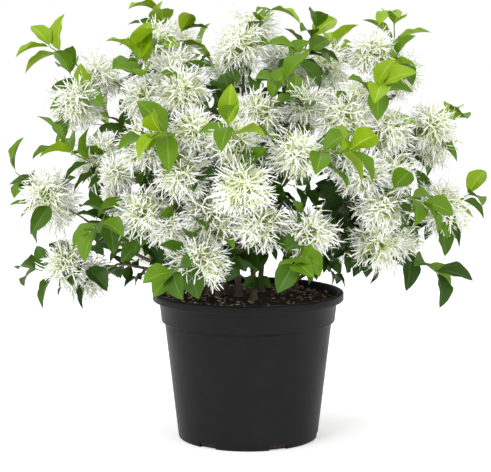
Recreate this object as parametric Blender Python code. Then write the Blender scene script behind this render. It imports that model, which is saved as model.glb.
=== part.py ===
"""Potted fringe tree: a many-stemmed flowering shrub in a black nursery pot.

Metres, +Z up. The origin is the centre of the pot's flat underside, +X is the right
side of the front view, and the front faces -Y.

Bare stems rise from the potting mix, boughs leave their sides, and each stem or bough
ends in a mass of foliage. Every mass grows by one seeded rule: a twig forks into
flowering shoots, each shoot ends in a mop of blossom, a leafy leader reaches past the
mops, and the leaves stand in opposite pairs.
"""

import math
import random
from collections import namedtuple

import bmesh
import bpy
from mathutils import Matrix, Quaternion, Vector
from mathutils.kdtree import KDTree

UP = Vector((0, 0, 1))
CLEAR = 0.0003

# Pot
RIM_DIAMETER = 0.280
BASE_DIAMETER = 0.206
POT_HEIGHT = 0.216
LIP_HEIGHT = 0.0115
LIP_ROUND = 0.0025
MOUTH_DIAMETER = 0.262
COLLAR_HEIGHT = 0.031
COLLAR_TOP_DIAMETER = 0.2608
COLLAR_FOOT_DIAMETER = 0.2544
SHOULDER_DIAMETER = 0.2448
SHOULDER_HEIGHT = 0.003
BASE_ROUND = 0.003
WALL = 0.002
FLOOR = 0.003
POT_SIDES = 40

# Drain slots round the foot of the wall, open at the bottom
SLOTS = 6
SLOT_WIDTH = 0.028
SLOT_HEIGHT = 0.008
SLOT_DEPTH = 0.014
FIRST_SLOT = 25

# Potting mix: flat where the stems stand, lower at the wall
MIX_TOP = 0.2090
MIX_EDGE = 0.2055
MIX_FLAT_DIAMETER = 0.216

# Limbs
FLARE_HEIGHT = 0.013
FLARE = 1.7
STEM_TIP_DIAMETER = 0.0034
BOUGH_SHARE = 0.78
BOUGH_MOST_DIAMETER = 0.0054
BOUGH_TIP_DIAMETER = 0.0030
BOUGH_COLLAR = 1.25
BOUGH_COLLAR_LENGTH = 0.009
BOUGH_RISE = 0.16
BOWS = (0, 0.012, -0.012, 0.024, -0.024, 0.036, -0.036)
STEM_SIDES = 6
BOUGH_SIDES = 6
SPANS = 2
LIMB_CLEAR = 0.0012
FOOT_REACH = 0.052

# Twigs
TWIG_DIAMETER = 0.0028
TWIG_TIP_DIAMETER = 0.0020
SHOOT_TIP_DIAMETER = 0.0016
TWIG_SIDES = 3

# Leaves, in opposite pairs, each pair a quarter turn from the last
LEAF_LENGTH = 0.056
LEAF_WIDTH = 0.0270
LEAF_THICKNESS = 0.0012
LEAF_ARCH = 0.06
LEAF_WIDEST = 0.44
LEAF_SUNK = 0.0004
LEAF_CLEAR = 0.0045
LEAF_SPREAD = 58
LEAF_GRID = [(share / 7, side) for share in range(1, 8) for side in (-1, 0, 1)]
LEADER_LENGTH = 0.078

# Where shoots leave a mass's main twig, and where pairs of leaves stand, as shares of length
FORKS = (0.30, 0.48, 0.64)
SHOOT_PAIRS = (0.45, 0.75)
LEADER_PAIRS = (0.50, 0.80)
LAST_PAIR = 0.97
LAST_SPREAD = 36
LEADER_LEAF = 0.95
MAIN_PAIRS = (0.62,)
FOOT_PAIRS = (0.32, 0.62, 0.94)
FOOT_LEAF = 0.72

# Blossom: a mop of fringes round each shoot's tip
MOP_RADIUS = 0.044
MOP_CORE = 0.46
MOP_DENSE = 0.90
MOP_SPREAD = 0.036
MOP_DROOP = 0.14
SPIKE_STOUT = 0.50
SPIKE_CLEAR = 0.003
SPIKE_LEAST = 1.05

# Crown
CELL_GAP = 0.0012
CROWN_LEFT = -0.354
CROWN_RIGHT = 0.350
CROWN_TOP = 0.640
CROWN_DEPTH = 0.330
POT_CLEAR = 0.005

# Foot (x, y), elbows (x, y, z), thickness above the flare, and the mass that it carries
Stem = namedtuple("Stem", "foot elbows thickness carries")
STEMS = {
    "left_low": Stem((-0.058, 0.020), [(-0.172, 0.012, 0.252)], 0.0076, "left_skirt"),
    "left": Stem((-0.044, -0.006), [(-0.152, -0.010, 0.266)], 0.0078, "left_low"),
    "left_upright": Stem(
        (-0.034, 0.024), [(-0.117, 0.000, 0.345), (-0.176, 0.010, 0.450)], 0.0082, "left_shoulder"
    ),
    "middle": Stem((-0.014, 0.000), [(-0.018, -0.010, 0.327)], 0.0086, "top"),
    "middle_back": Stem((0.018, 0.040), [(0.034, 0.048, 0.380)], 0.0084, "top_right_mid"),
    "right": Stem(
        (0.046, 0.022), [(0.094, 0.012, 0.264), (0.139, 0.000, 0.312)], 0.0100, "top_right"
    ),
    "right_low": Stem(
        (0.060, 0.044), [(0.102, 0.050, 0.254), (0.185, 0.012, 0.303)], 0.0078, "right_low"
    ),
    "right_back": Stem((0.072, 0.066), [(0.122, 0.088, 0.246)], 0.0068, "back_low_right"),
    "back_left": Stem((-0.016, 0.058), [(-0.070, 0.110, 0.310)], 0.0078, "back_mid_left"),
    "front": Stem((0.008, -0.030), [(0.004, -0.088, 0.300)], 0.0086, "front_mid"),
}

# The stem that each bough leaves, and how far along it
Bough = namedtuple("Bough", "stem share carries")
BOUGHS = [
    Bough("left_upright", 0.62, "top_left"),
    Bough("left_upright", 0.46, "left_mid"),
    Bough("left", 0.50, "front_left"),
    Bough("middle", 0.62, "upper_left"),
    Bough("middle", 0.40, "front_upper_left"),
    Bough("middle_back", 0.66, "upper_mid"),
    Bough("middle_back", 0.74, "back_upper_right"),
    Bough("middle_back", 0.38, "back_mid"),
    Bough("right", 0.66, "right_upper"),
    Bough("right", 0.54, "upper_right"),
    Bough("right", 0.34, "front_right"),
    Bough("right_back", 0.52, "back_mid_right"),
    Bough("back_left", 0.66, "back_upper_left"),
    Bough("back_left", 0.40, "back_low_left"),
    Bough("front", 0.38, "front_low_right"),
    Bough("front", 0.28, "front_low_left"),
    Bough("front", 0.62, "front_right_mid"),
]

# Masses whose own twig leaves a stem's side
SIDE_TWIGS = {
    "right_skirt": ("right_low", 0.66),
    "foot_left": ("front", 0.14),
    "foot_right": ("right", 0.12),
}

# Centre, number of mops, turn of the mops round the mass, and the leader's heading and pitch
Mass = namedtuple("Mass", "centre mops turn leader")
MASSES = {
    "left_skirt": Mass((-0.246, 0.000, 0.255), 2, 335, (170, -5)),
    "left_low": Mass((-0.280, -0.020, 0.353), 2, 335, (172, 35)),
    "left_shoulder": Mass((-0.237, 0.020, 0.503), 3, 75, (172, 52)),
    "left_mid": Mass((-0.194, -0.100, 0.411), 2, 190, (195, 20)),
    "upper_left": Mass((-0.108, -0.090, 0.518), 3, 305, (215, 40)),
    "top_left": Mass((-0.128, 0.080, 0.574), 2, 355, (110, 60)),
    "top": Mass((-0.004, -0.020, 0.583), 2, 100, (20, 50)),
    "top_right_mid": Mass((0.060, 0.030, 0.540), 2, 225, (15, 55)),
    "top_right": Mass((0.199, 0.000, 0.551), 2, 230, (60, 72)),
    "right_upper": Mass((0.262, -0.010, 0.453), 2, 200, (0, 50)),
    "right_low": Mass((0.280, -0.030, 0.338), 2, 205, (330, 40)),
    "right_skirt": Mass((0.198, -0.090, 0.297), 2, 185, (330, -25)),
    "upper_mid": Mass((0.048, -0.130, 0.488), 2, 0, (270, 30)),
    "upper_right": Mass((0.152, -0.120, 0.476), 3, 120, (300, 40)),
    "front_left": Mass((-0.163, -0.155, 0.359), 2, 20, (235, -20)),
    "front_upper_left": Mass((-0.094, -0.200, 0.438), 3, 130, (250, 25)),
    "front_mid": Mass((-0.012, -0.250, 0.427), 2, 80, (250, 50)),
    "front_right_mid": Mass((0.093, -0.215, 0.432), 2, 5, (300, 10)),
    "front_right": Mass((0.171, -0.165, 0.391), 3, 30, (320, -15)),
    "front_low_left": Mass((-0.074, -0.200, 0.325), 3, 255, (250, -30)),
    "front_low_right": Mass((0.044, -0.205, 0.341), 2, 190, (285, -35)),
    "foot_left": Mass((-0.030, -0.070, 0.246), 0, 0, (206, 10)),
    "foot_right": Mass((0.052, -0.050, 0.252), 0, 0, (300, 30)),
    "back_low_right": Mass((0.135, 0.160, 0.270), 2, 20, (40, -10)),
    "back_low_left": Mass((-0.130, 0.175, 0.300), 2, 60, (130, -15)),
    "back_mid": Mass((0.005, 0.245, 0.400), 2, 10, (80, -50)),
    "back_mid_right": Mass((0.205, 0.150, 0.395), 2, 20, (35, 15)),
    "back_mid_left": Mass((-0.190, 0.150, 0.420), 2, 45, (150, 20)),
    "back_upper_left": Mass((-0.060, 0.165, 0.520), 2, 30, (110, 35)),
    "back_upper_right": Mass((0.105, 0.160, 0.515), 2, 60, (60, 40)),
}
HEART = Vector((0, 0, 0.30))

Limb = namedtuple("Limb", "route girths")
Leaf = namedtuple("Leaf", "base along face length width")
Mop = namedtuple("Mop", "centre reach turn")
Sprays = namedtuple("Sprays", "twigs leaves mops")


def spline(stations, spans=SPANS):
    """Points on a smooth curve through the stations."""
    ends = [2 * stations[0] - stations[1], *stations, 2 * stations[-1] - stations[-2]]
    points = []
    for a, b, c, d in zip(ends, ends[1:], ends[2:], ends[3:]):
        for step in range(spans):
            t = step / spans
            bend = (2 * a - 5 * b + 4 * c - d) * t + (3 * b - a - 3 * c + d) * t * t
            points.append(b + ((c - a) + bend) * t / 2)
    return [*points, stations[-1].copy()]


def lengths_along(route):
    """The distance from the route's start to each of its points."""
    total = [0.0]
    for a, b in zip(route, route[1:]):
        total.append(total[-1] + (b - a).length)
    return total


def tapered(route, start, end):
    """A radius for each point of the route, from start to end."""
    along = lengths_along(route)
    return [start + (end - start) * far / along[-1] for far in along]


def point_along(limb, share):
    """The place, direction and radius at a share of a limb's length."""
    along = lengths_along(limb.route)
    want = share * along[-1]
    k = next(i for i in range(1, len(along)) if along[i] >= want - 1e-9)
    t = (want - along[k - 1]) / (along[k] - along[k - 1])
    place = limb.route[k - 1].lerp(limb.route[k], t)
    heading = (limb.route[k] - limb.route[k - 1]).normalized()
    return place, heading, limb.girths[k - 1] + t * (limb.girths[k] - limb.girths[k - 1])


def square_to(vector, axis):
    """The part of a vector that is square to an axis, as a unit vector."""
    return (vector - axis * vector.dot(axis)).normalized()


def heading_of(azimuth, pitch):
    """A unit vector from a compass heading and a pitch above level, in degrees."""
    level = math.cos(math.radians(pitch))
    turn = math.radians(azimuth)
    return Vector((level * math.cos(turn), level * math.sin(turn), math.sin(math.radians(pitch))))


class Space:
    """The limbs and twigs grown so far, which nothing new may touch."""

    def __init__(self):
        self.points = []
        self.tree = None

    def add(self, limb, owner):
        for k in range(len(limb.route) - 1):
            a, b = limb.route[k], limb.route[k + 1]
            steps = max(1, math.ceil((b - a).length / 0.002))
            for step in range(steps + 1):
                girth = limb.girths[k] + (limb.girths[k + 1] - limb.girths[k]) * step / steps
                self.points.append((a.lerp(b, step / steps), girth, owner))

    def settle(self):
        self.tree = KDTree(len(self.points))
        for index, (place, _, _) in enumerate(self.points):
            self.tree.insert(place, index)
        self.tree.balance()

    def clear(self, place, room, owners=()):
        """True where a point is more than room from every limb but the owners'."""
        for _, index, far in self.tree.find_range(place, room + 0.012):
            _, girth, owner = self.points[index]
            if owner not in owners and far < girth + room:
                return False
        return True

    def clear_limb(self, limb, owners, skip=0.0):
        """True where a limb, past its first stretch of skip, clears every other."""
        along = lengths_along(limb.route)
        steps = math.ceil(along[-1] / 0.003)
        for step in range(steps + 1):
            if step / steps * along[-1] < skip:
                continue
            place, _, girth = point_along(limb, step / steps)
            if not self.clear(place, girth + LIMB_CLEAR, owners):
                return False
        return True


def in_pot(place, room=POT_CLEAR):
    return place.z < POT_HEIGHT + room and place.xy.length < RIM_DIAMETER / 2 + room


class Cell:
    """The space that one mass keeps to: what lies nearer its centre than any other's."""

    def __init__(self, name):
        self.own_twig = (name + " twig",)
        self.centre = Vector(MASSES[name].centre)
        self.walls = []
        for other, mass in MASSES.items():
            if other == name:
                continue
            away = Vector(mass.centre) - self.centre
            self.walls.append((away.normalized(), away.length / 2 - CELL_GAP / 2))
        self.walls.append((Vector((1, 0, 0)), CROWN_RIGHT - self.centre.x))
        self.walls.append((Vector((-1, 0, 0)), self.centre.x - CROWN_LEFT))
        self.walls.append((Vector((0, 1, 0)), CROWN_DEPTH - self.centre.y))
        self.walls.append((Vector((0, -1, 0)), self.centre.y + CROWN_DEPTH))
        self.walls.append((UP, CROWN_TOP - self.centre.z))

    def holds(self, place):
        offset = place - self.centre
        return not in_pot(place) and all(offset.dot(n) < far for n, far in self.walls)

    def room(self, place):
        """The distance from a place to the nearest wall."""
        offset = place - self.centre
        return min(far - offset.dot(n) for n, far in self.walls)

    def reach(self, place, heading, most):
        """How far a point may go from a place along a heading before it meets a wall."""
        offset = place - self.centre
        for n, far in self.walls:
            speed = heading.dot(n)
            if speed > 1e-6:
                most = min(most, (far - offset.dot(n)) / speed)
        return most


def grow_stems():
    stems = {}
    for name, plan in STEMS.items():
        foot = Vector((*plan.foot, MIX_TOP + CLEAR))
        elbows = [Vector(elbow) for elbow in plan.elbows]
        centre = Vector(MASSES[plan.carries].centre)
        tip = centre + (elbows[-1] - centre).normalized() * FOOT_REACH
        route = spline([foot, foot + UP * FLARE_HEIGHT, *elbows, tip])
        girths = tapered(route, plan.thickness / 2, STEM_TIP_DIAMETER / 2)
        for k in range(SPANS):
            girths[k] *= 1 + (FLARE - 1) * (1 - k / SPANS) ** 2
            route[k] = foot + UP * FLARE_HEIGHT * k / SPANS
        stems[name] = Limb(route, girths)
    return stems


def grow_from_side(limb, share, target, start, end, bow, spans=SPANS):
    """A limb that leaves another's side flush with it, and rises to a target."""
    place, heading, girth = point_along(limb, share)
    side = square_to(target - place, heading)
    base = place + side * (girth + CLEAR)
    collar = base + side * BOUGH_COLLAR_LENGTH * 0.6 + heading * BOUGH_COLLAR_LENGTH * 0.4
    span = target - base
    across = span.cross(heading).normalized()
    elbow = base + span * 0.5 + square_to(UP, span.normalized()) * span.length * BOUGH_RISE
    route = spline([base, collar, elbow + across * bow, target], spans)
    girths = tapered(route, start, end)
    for k in range(spans):
        girths[k] *= 1 + (BOUGH_COLLAR - 1) * (1 - k / spans)
    route[1] = base + side * (route[1] - base).length
    return Limb(route, girths)


def grow_boughs(stems, space):
    boughs = {}
    for plan in BOUGHS:
        stem = stems[plan.stem]
        place, _, girth = point_along(stem, plan.share)
        start = min(girth * BOUGH_SHARE, BOUGH_MOST_DIAMETER / 2)
        centre = Vector(MASSES[plan.carries].centre)
        target = centre + (place - centre).normalized() * FOOT_REACH
        for bow in BOWS:
            bough = grow_from_side(
                stem, plan.share, target, start, BOUGH_TIP_DIAMETER / 2, bow
            )
            if space.clear_limb(bough, (), BOUGH_COLLAR_LENGTH * 1.5):
                break
        boughs[plan.carries] = bough
        space.add(bough, plan.carries)
        space.settle()
    return boughs


def fan_of_mops(name):
    """The places and reaches of a mass's mops, fanned round its centre."""
    rng = random.Random(f"mops of {name}")
    plan = MASSES[name]
    centre = Vector(plan.centre)
    outward = (centre - HEART).normalized()
    across = outward.cross(UP).normalized()
    upward = across.cross(outward)
    mops = []
    for k in range(plan.mops):
        turn = math.radians(plan.turn + 360 * k / plan.mops + rng.uniform(-10, 10))
        wide = MOP_SPREAD * rng.uniform(0.9, 1.1)
        fan = (upward * math.sin(turn) + across * math.cos(turn)) * wide
        spin = Quaternion([rng.uniform(-1, 1) for _ in range(4)]).normalized()
        place = centre + fan + outward * rng.uniform(-0.006, 0.012)
        mops.append(Mop(place, MOP_RADIUS * rng.uniform(0.92, 1.1), spin))
    return mops


def leader_tip(name):
    """Where the leafy leader of a mass ends."""
    rng = random.Random(f"leader of {name}")
    length = LEADER_LENGTH * rng.uniform(0.85, 1.15)
    return Vector(MASSES[name].centre) + heading_of(*MASSES[name].leader) * length


def grow_main_twig(name, limbs):
    """The one stem of a mass, from its limb to its first mop, or to its leader's tip."""
    mops = fan_of_mops(name)
    end = mops[0].centre if mops else leader_tip(name)
    start, tip = TWIG_DIAMETER / 2, TWIG_TIP_DIAMETER / 2
    if name in SIDE_TWIGS:
        stem, share = SIDE_TWIGS[name]
        return grow_from_side(limbs[stem], share, end, start, tip, 0, 1)
    carrier = limbs[name]
    heading = (carrier.route[-1] - carrier.route[-2]).normalized()
    base = carrier.route[-1] + heading * CLEAR
    straight = base + heading * 0.008
    bend = straight.lerp(end, 0.5) + heading * (end - straight).length * 0.12
    route = [base, straight, bend, end]
    return Limb(route, tapered(route, start, tip))


def leaf_point(leaf, share, side=0.0):
    """A place on a leaf's blade: share runs from base to tip, side from -1 to 1."""
    across = leaf.along.cross(leaf.face)
    arch = leaf.face * leaf.length * LEAF_ARCH * 4 * share * (1 - share)
    half = leaf.width / 2 * min(1, share / LEAF_WIDEST, (1 - share) / (1 - LEAF_WIDEST))
    return leaf.base + leaf.along * leaf.length * share + arch + across * half * side


def leaf_fits(leaf, cell, space):
    for share, side in LEAF_GRID:
        place = leaf_point(leaf, share, side)
        if not cell.holds(place) or not space.clear(place, LEAF_CLEAR, cell.own_twig):
            return False
    return True


def leaf_pair(rng, twig, share, turn, spread, size):
    """Two leaves that face each other across a twig."""
    place, heading, _ = point_along(twig, share)
    level = heading.cross(UP) if abs(heading.z) < 0.95 else heading.cross(Vector((1, 0, 0)))
    level = Quaternion(heading, turn) @ level.normalized()
    pair = []
    for side in (level, -level):
        lean = math.radians(spread + rng.uniform(-10, 10))
        droop = UP * rng.uniform(0.0, 0.35)
        along = (heading * math.cos(lean) + side * math.sin(lean) - droop).normalized()
        light = UP * 0.8 + heading * 0.7 + Vector([rng.uniform(-0.35, 0.35) for _ in range(3)])
        length = LEAF_LENGTH * size * rng.uniform(0.85, 1.15)
        width = LEAF_WIDTH * size * rng.uniform(0.9, 1.1)
        base = place - along * LEAF_SUNK
        pair.append(Leaf(base, along, square_to(light, along), length, width))
    return pair


def grow_mass(name, main, space):
    """Everything in one mass: its shoots, leaves and mops."""
    rng = random.Random(name)
    cell = Cell(name)
    mops = [
        mop._replace(reach=min(mop.reach, cell.room(mop.centre) / MOP_CORE))
        for mop in fan_of_mops(name)
        if space.clear(mop.centre, MOP_RADIUS * MOP_CORE, cell.own_twig)
    ]
    twigs, leaves = [main], []

    def sprout(twig, shares, spread, size):
        turn = rng.uniform(0, math.pi)
        for share in shares:
            for leaf in leaf_pair(rng, twig, share, turn, spread, size):
                buried = any(
                    (leaf_point(leaf, at) - mop.centre).length < mop.reach * depth
                    for mop in mops
                    for at, depth in ((0.5, MOP_CORE), (1.0, MOP_DENSE))
                )
                if not buried and leaf_fits(leaf, cell, space):
                    leaves.append(leaf)
            turn += math.pi / 2

    def branch(start, end, shares, spread, size):
        place, heading, girth = point_along(main, start)
        bend = place.lerp(end, 0.5) + heading * (end - place).length * 0.12
        route = [place, bend, end]
        twig = Limb(route, tapered(route, girth * 0.9, SHOOT_TIP_DIAMETER / 2))
        inside = all(cell.holds(point) for point in route[1:])
        if not inside or not space.clear_limb(twig, cell.own_twig):
            return False
        twigs.append(twig)
        sprout(twig, shares, spread, size)
        return True

    if not mops:
        sprout(main, FOOT_PAIRS, LEAF_SPREAD, FOOT_LEAF)
        return Sprays(twigs, leaves, mops)
    mops = mops[:1] + [
        mop
        for mop, fork in zip(mops[1:], FORKS)
        if branch(fork, mop.centre, SHOOT_PAIRS, LEAF_SPREAD, 1.0)
    ]
    if branch(FORKS[-1], leader_tip(name), LEADER_PAIRS, LEAF_SPREAD, LEADER_LEAF):
        turn = rng.uniform(0, math.pi)
        last = leaf_pair(rng, twigs[-1], LAST_PAIR, turn, LAST_SPREAD, LEADER_LEAF)
        leaves += [leaf for leaf in last if leaf_fits(leaf, cell, space)]
    sprout(main, MAIN_PAIRS, LEAF_SPREAD, 1.0)
    return Sprays(twigs, leaves, mops)


def principled(name, colour, roughness):
    material = bpy.data.materials.new(name)
    material.use_nodes = True
    shader = material.node_tree.nodes["Principled BSDF"]
    shader.inputs["Base Color"].default_value = (*colour, 1)
    shader.inputs["Roughness"].default_value = roughness
    material.diffuse_color = (*colour, 1)
    return material


def object_from(name, bm, material):
    bmesh.ops.recalc_face_normals(bm, faces=bm.faces)
    mesh = bpy.data.meshes.new(name)
    bm.to_mesh(mesh)
    bm.free()
    mesh.materials.append(material)
    made = bpy.data.objects.new(name, mesh)
    bpy.context.scene.collection.objects.link(made)
    return made


def lathe(name, profile, material):
    """A turned solid from a profile whose two ends lie on the axis."""
    bm = bmesh.new()
    verts = [bm.verts.new((radius, 0, height)) for radius, height in profile]
    edges = [bm.edges.new(pair) for pair in zip(verts, verts[1:])]
    bmesh.ops.spin(
        bm, geom=verts + edges, axis=UP, cent=(0, 0, 0), angle=math.tau, steps=POT_SIDES, use_merge=True
    )
    bmesh.ops.remove_doubles(bm, verts=bm.verts, dist=1e-5)
    return object_from(name, bm, material)


def inner_wall():
    """The pot's inner wall from floor to mouth, as radius and height."""
    step = POT_HEIGHT - LIP_HEIGHT - COLLAR_HEIGHT
    return [
        (BASE_DIAMETER / 2 - WALL, FLOOR),
        (SHOULDER_DIAMETER / 2 - WALL, step - 2 * SHOULDER_HEIGHT),
        (COLLAR_FOOT_DIAMETER / 2 - WALL, step + SHOULDER_HEIGHT),
        (MOUTH_DIAMETER / 2, POT_HEIGHT - LIP_ROUND),
    ]


def outer_wall():
    """The pot's outside from its underside over the lip to the mouth."""
    base = BASE_DIAMETER / 2
    rim = RIM_DIAMETER / 2
    lip_foot = POT_HEIGHT - LIP_HEIGHT
    step = lip_foot - COLLAR_HEIGHT
    return [
        (base - BASE_ROUND, 0),
        (base, BASE_ROUND),
        (SHOULDER_DIAMETER / 2, step - SHOULDER_HEIGHT),
        (COLLAR_FOOT_DIAMETER / 2, step),
        (COLLAR_TOP_DIAMETER / 2, lip_foot),
        (rim - LIP_ROUND, lip_foot),
        (rim, lip_foot + LIP_ROUND),
        (rim, POT_HEIGHT - LIP_ROUND),
        (rim - LIP_ROUND, POT_HEIGHT),
        (MOUTH_DIAMETER / 2 + LIP_ROUND, POT_HEIGHT),
    ]


def make_pot(plastic):
    profile = [(0, 0), *outer_wall(), *reversed(inner_wall()), (0, FLOOR)]
    pot = lathe("pot", profile, plastic)
    base = BASE_DIAMETER / 2
    cut = bmesh.new()
    for k in range(SLOTS):
        middle = base + SLOT_DEPTH * 0.2
        size = Matrix.Diagonal((SLOT_DEPTH * 1.6, SLOT_WIDTH, SLOT_HEIGHT * 2, 1))
        turn = Matrix.Rotation(math.radians(FIRST_SLOT - 90 + 360 * k / SLOTS), 4, "Z")
        bmesh.ops.create_cube(cut, size=1, matrix=turn @ Matrix.Translation((middle, 0, 0)) @ size)
    cutter = object_from("slot_cutter", cut, plastic)
    combine(pot, "DIFFERENCE", [cutter])
    smooth(pot)


def make_mix(mix):
    """Fills the pot, a hair clear of its wall, to a top that is flat under the stems."""
    (floor_radius, _), *walls, (mouth, mouth_height) = inner_wall()
    collar, collar_height = walls[-1]
    share = (MIX_EDGE - collar_height) / (mouth_height - collar_height)
    edge = collar + (mouth - collar) * share
    side = [(floor_radius, FLOOR + CLEAR), *walls, (edge, MIX_EDGE)]
    side = [(radius - CLEAR, height) for radius, height in side]
    flat = MIX_FLAT_DIAMETER / 2
    profile = [(0, FLOOR + CLEAR), *side, (flat, MIX_TOP), (0, MIX_TOP)]
    smooth(lathe("potting_mix", profile, mix))


def combine(target, operation, others):
    """One Boolean of the target with a collection of others, applied."""
    tools = bpy.data.collections.new("tools")
    bpy.context.scene.collection.children.link(tools)
    for other in others:
        bpy.context.scene.collection.objects.unlink(other)
        tools.objects.link(other)
    boolean = target.modifiers.new("combine", "BOOLEAN")
    boolean.operation = operation
    boolean.solver = "EXACT"
    boolean.operand_type = "COLLECTION"
    boolean.collection = tools
    bpy.context.view_layer.update()
    graph = bpy.context.evaluated_depsgraph_get()
    mesh = bpy.data.meshes.new_from_object(target.evaluated_get(graph))
    target.modifiers.clear()
    target.data = mesh
    for other in others:
        bpy.data.objects.remove(other)
    bpy.data.collections.remove(tools)


def smooth(made):
    made.data.shade_smooth()
    made.data.set_sharp_from_angle(angle=math.radians(35))


def sweep(bm, limb, sides):
    """A closed tapering tube along a limb's route."""
    route = limb.route
    headings = [(b - a).normalized() for a, b in zip(route, route[1:])]
    turns = [headings[0].to_track_quat("Z", "Y")]
    for k in range(1, len(route)):
        before = headings[k - 1]
        after = headings[min(k, len(headings) - 1)]
        ahead = (before + after).normalized()
        facing = turns[-1] @ UP
        turns.append(facing.rotation_difference(ahead) @ turns[-1])
    places = [
        Matrix.LocRotScale(place, turn, Vector((girth, girth, girth)))
        for place, turn, girth in zip(route, turns, limb.girths)
    ]
    bmesh.ops.create_circle(bm, cap_ends=True, segments=sides, radius=1, matrix=places[0])
    cap = bm.faces[:][-1]
    for before, after in zip(places, places[1:]):
        region = [cap, *cap.edges, *cap.verts]
        grown = bmesh.ops.extrude_face_region(bm, geom=region)["geom"]
        cap = next(piece for piece in grown if isinstance(piece, bmesh.types.BMFace))
        bmesh.ops.transform(bm, matrix=after @ before.inverted(), verts=cap.verts)


def make_limb(name, limb, sides, bark):
    bm = bmesh.new()
    sweep(bm, limb, sides)
    smooth(object_from(name, bm, bark))


def leaf_solid(leaf):
    """A thin blade of six faces: root, widest place, tip, and a keel near the root."""
    bm = bmesh.new()
    places = [leaf_point(leaf, 0), leaf_point(leaf, LEAF_WIDEST, 1), leaf_point(leaf, 1)]
    places += [leaf_point(leaf, LEAF_WIDEST, -1)]
    places += [leaf_point(leaf, LEAF_WIDEST / 2) - leaf.face * LEAF_THICKNESS]
    root, left, tip, right, keel = [bm.verts.new(place) for place in places]
    bm.faces.new((root, left, right))
    bm.faces.new((left, tip, right))
    for a, b in ((root, left), (left, tip), (tip, right), (right, root)):
        bm.faces.new((b, a, keel))
    return bm


def spike_reach(mop, heading, reach, sprays, cell, space):
    """How far a spike may reach before it meets a wall, a mop, a leaf, a limb or the pot."""
    core = mop.reach * MOP_CORE
    reach = cell.reach(mop.centre, heading, reach)
    for other in sprays.mops:
        between = other.centre - mop.centre
        closing = heading.dot(between.normalized())
        if other is not mop and closing > 0:
            reach = min(reach, (between.length / 2 - CLEAR) / closing)
    for leaf in sprays.leaves:
        for share, side in LEAF_GRID:
            offset = leaf_point(leaf, share, side) - mop.centre
            far = offset.dot(heading)
            if core < far < reach:
                half = core * SPIKE_STOUT * (reach - far) / (reach - core) + SPIKE_CLEAR
                if (offset - heading * far).length < half:
                    reach = far
    while reach > core * SPIKE_LEAST:
        points = [mop.centre + heading * reach * share for share in (0.6, 0.8, 1.0)]
        if all(space.clear(p, 0.005, cell.own_twig) and not in_pot(p) for p in points):
            break
        reach *= 0.85
    return max(reach, core * SPIKE_LEAST)


def mop_solid(mop, sprays, cell, space):
    """A ball of fringes: a small core with a spike on every face, kept to its own space."""
    bm = bmesh.new()
    place = Matrix.Translation(mop.centre) @ mop.turn.to_matrix().to_4x4()
    bmesh.ops.create_icosphere(bm, subdivisions=1, radius=mop.reach * MOP_CORE, matrix=place)
    rng = random.Random(f"{mop.centre.x:.4f}")
    for tip in bmesh.ops.poke(bm, faces=bm.faces[:])["verts"]:
        heading = ((tip.co - mop.centre).normalized() - UP * MOP_DROOP).normalized()
        most = mop.reach * rng.uniform(0.86, 1.12)
        tip.co = mop.centre + heading * spike_reach(mop, heading, most, sprays, cell, space)
    return bm


def twig_solid(twig):
    bm = bmesh.new()
    sweep(bm, twig, TWIG_SIDES)
    return bm


def make_mass(name, sprays, space, bark, green, white):
    cell = Cell(name)
    made = object_from(f"foliage_{name}", twig_solid(sprays.twigs[0]), bark)
    pieces = [object_from("twig", twig_solid(twig), bark) for twig in sprays.twigs[1:]]
    pieces += [object_from("leaf", leaf_solid(leaf), green) for leaf in sprays.leaves]
    pieces += [
        object_from("mop", mop_solid(mop, sprays, cell, space), white) for mop in sprays.mops
    ]
    combine(made, "UNION", pieces)
    keep_largest_body(made)


def keep_largest_body(made):
    """Drops loose scraps and the skins of sealed hollows."""
    bm = bmesh.new()
    bm.from_mesh(made.data)
    unseen = set(bm.verts)
    bodies = []
    while unseen:
        body, edge = set(), [unseen.pop()]
        while edge:
            vert = edge.pop()
            body.add(vert)
            for link in vert.link_edges:
                far = link.other_vert(vert)
                if far in unseen:
                    unseen.discard(far)
                    edge.append(far)
        bodies.append(body)
    bodies.sort(key=len, reverse=True)
    for body in bodies[1:]:
        bmesh.ops.delete(bm, geom=list(body), context="VERTS")
    bm.to_mesh(made.data)
    bm.free()


def grow():
    """The whole plant as limbs and sprays, before any mesh is made."""
    space = Space()
    stems = grow_stems()
    for name, stem in stems.items():
        space.add(stem, name)
    space.settle()
    boughs = grow_boughs(stems, space)
    limbs = dict(stems)
    limbs.update(boughs)
    limbs.update({plan.carries: stems[name] for name, plan in STEMS.items()})
    mains = {name: grow_main_twig(name, limbs) for name in MASSES}
    for name, main in mains.items():
        space.add(main, name + " twig")
    space.settle()
    masses = {name: grow_mass(name, mains[name], space) for name in MASSES}
    return space, stems, boughs, masses


def main():
    for old in list(bpy.data.objects):
        bpy.data.objects.remove(old)
    plastic = principled("pot_plastic", (0.028, 0.028, 0.030), 0.42)
    mix = principled("potting_mix", (0.045, 0.025, 0.014), 0.95)
    bark = principled("bark", (0.13, 0.085, 0.06), 0.8)
    green = principled("leaf_green", (0.12, 0.30, 0.03), 0.5)
    white = principled("petal_white", (0.90, 0.92, 0.84), 0.6)
    make_pot(plastic)
    make_mix(mix)
    space, stems, boughs, masses = grow()
    for name, stem in stems.items():
        make_limb(f"stem_{name}", stem, STEM_SIDES, bark)
    for name, bough in boughs.items():
        make_limb(f"bough_{name}", bough, BOUGH_SIDES, bark)
    for name, sprays in masses.items():
        make_mass(name, sprays, space, bark, green, white)


if __name__ == "__main__":
    main()
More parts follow.
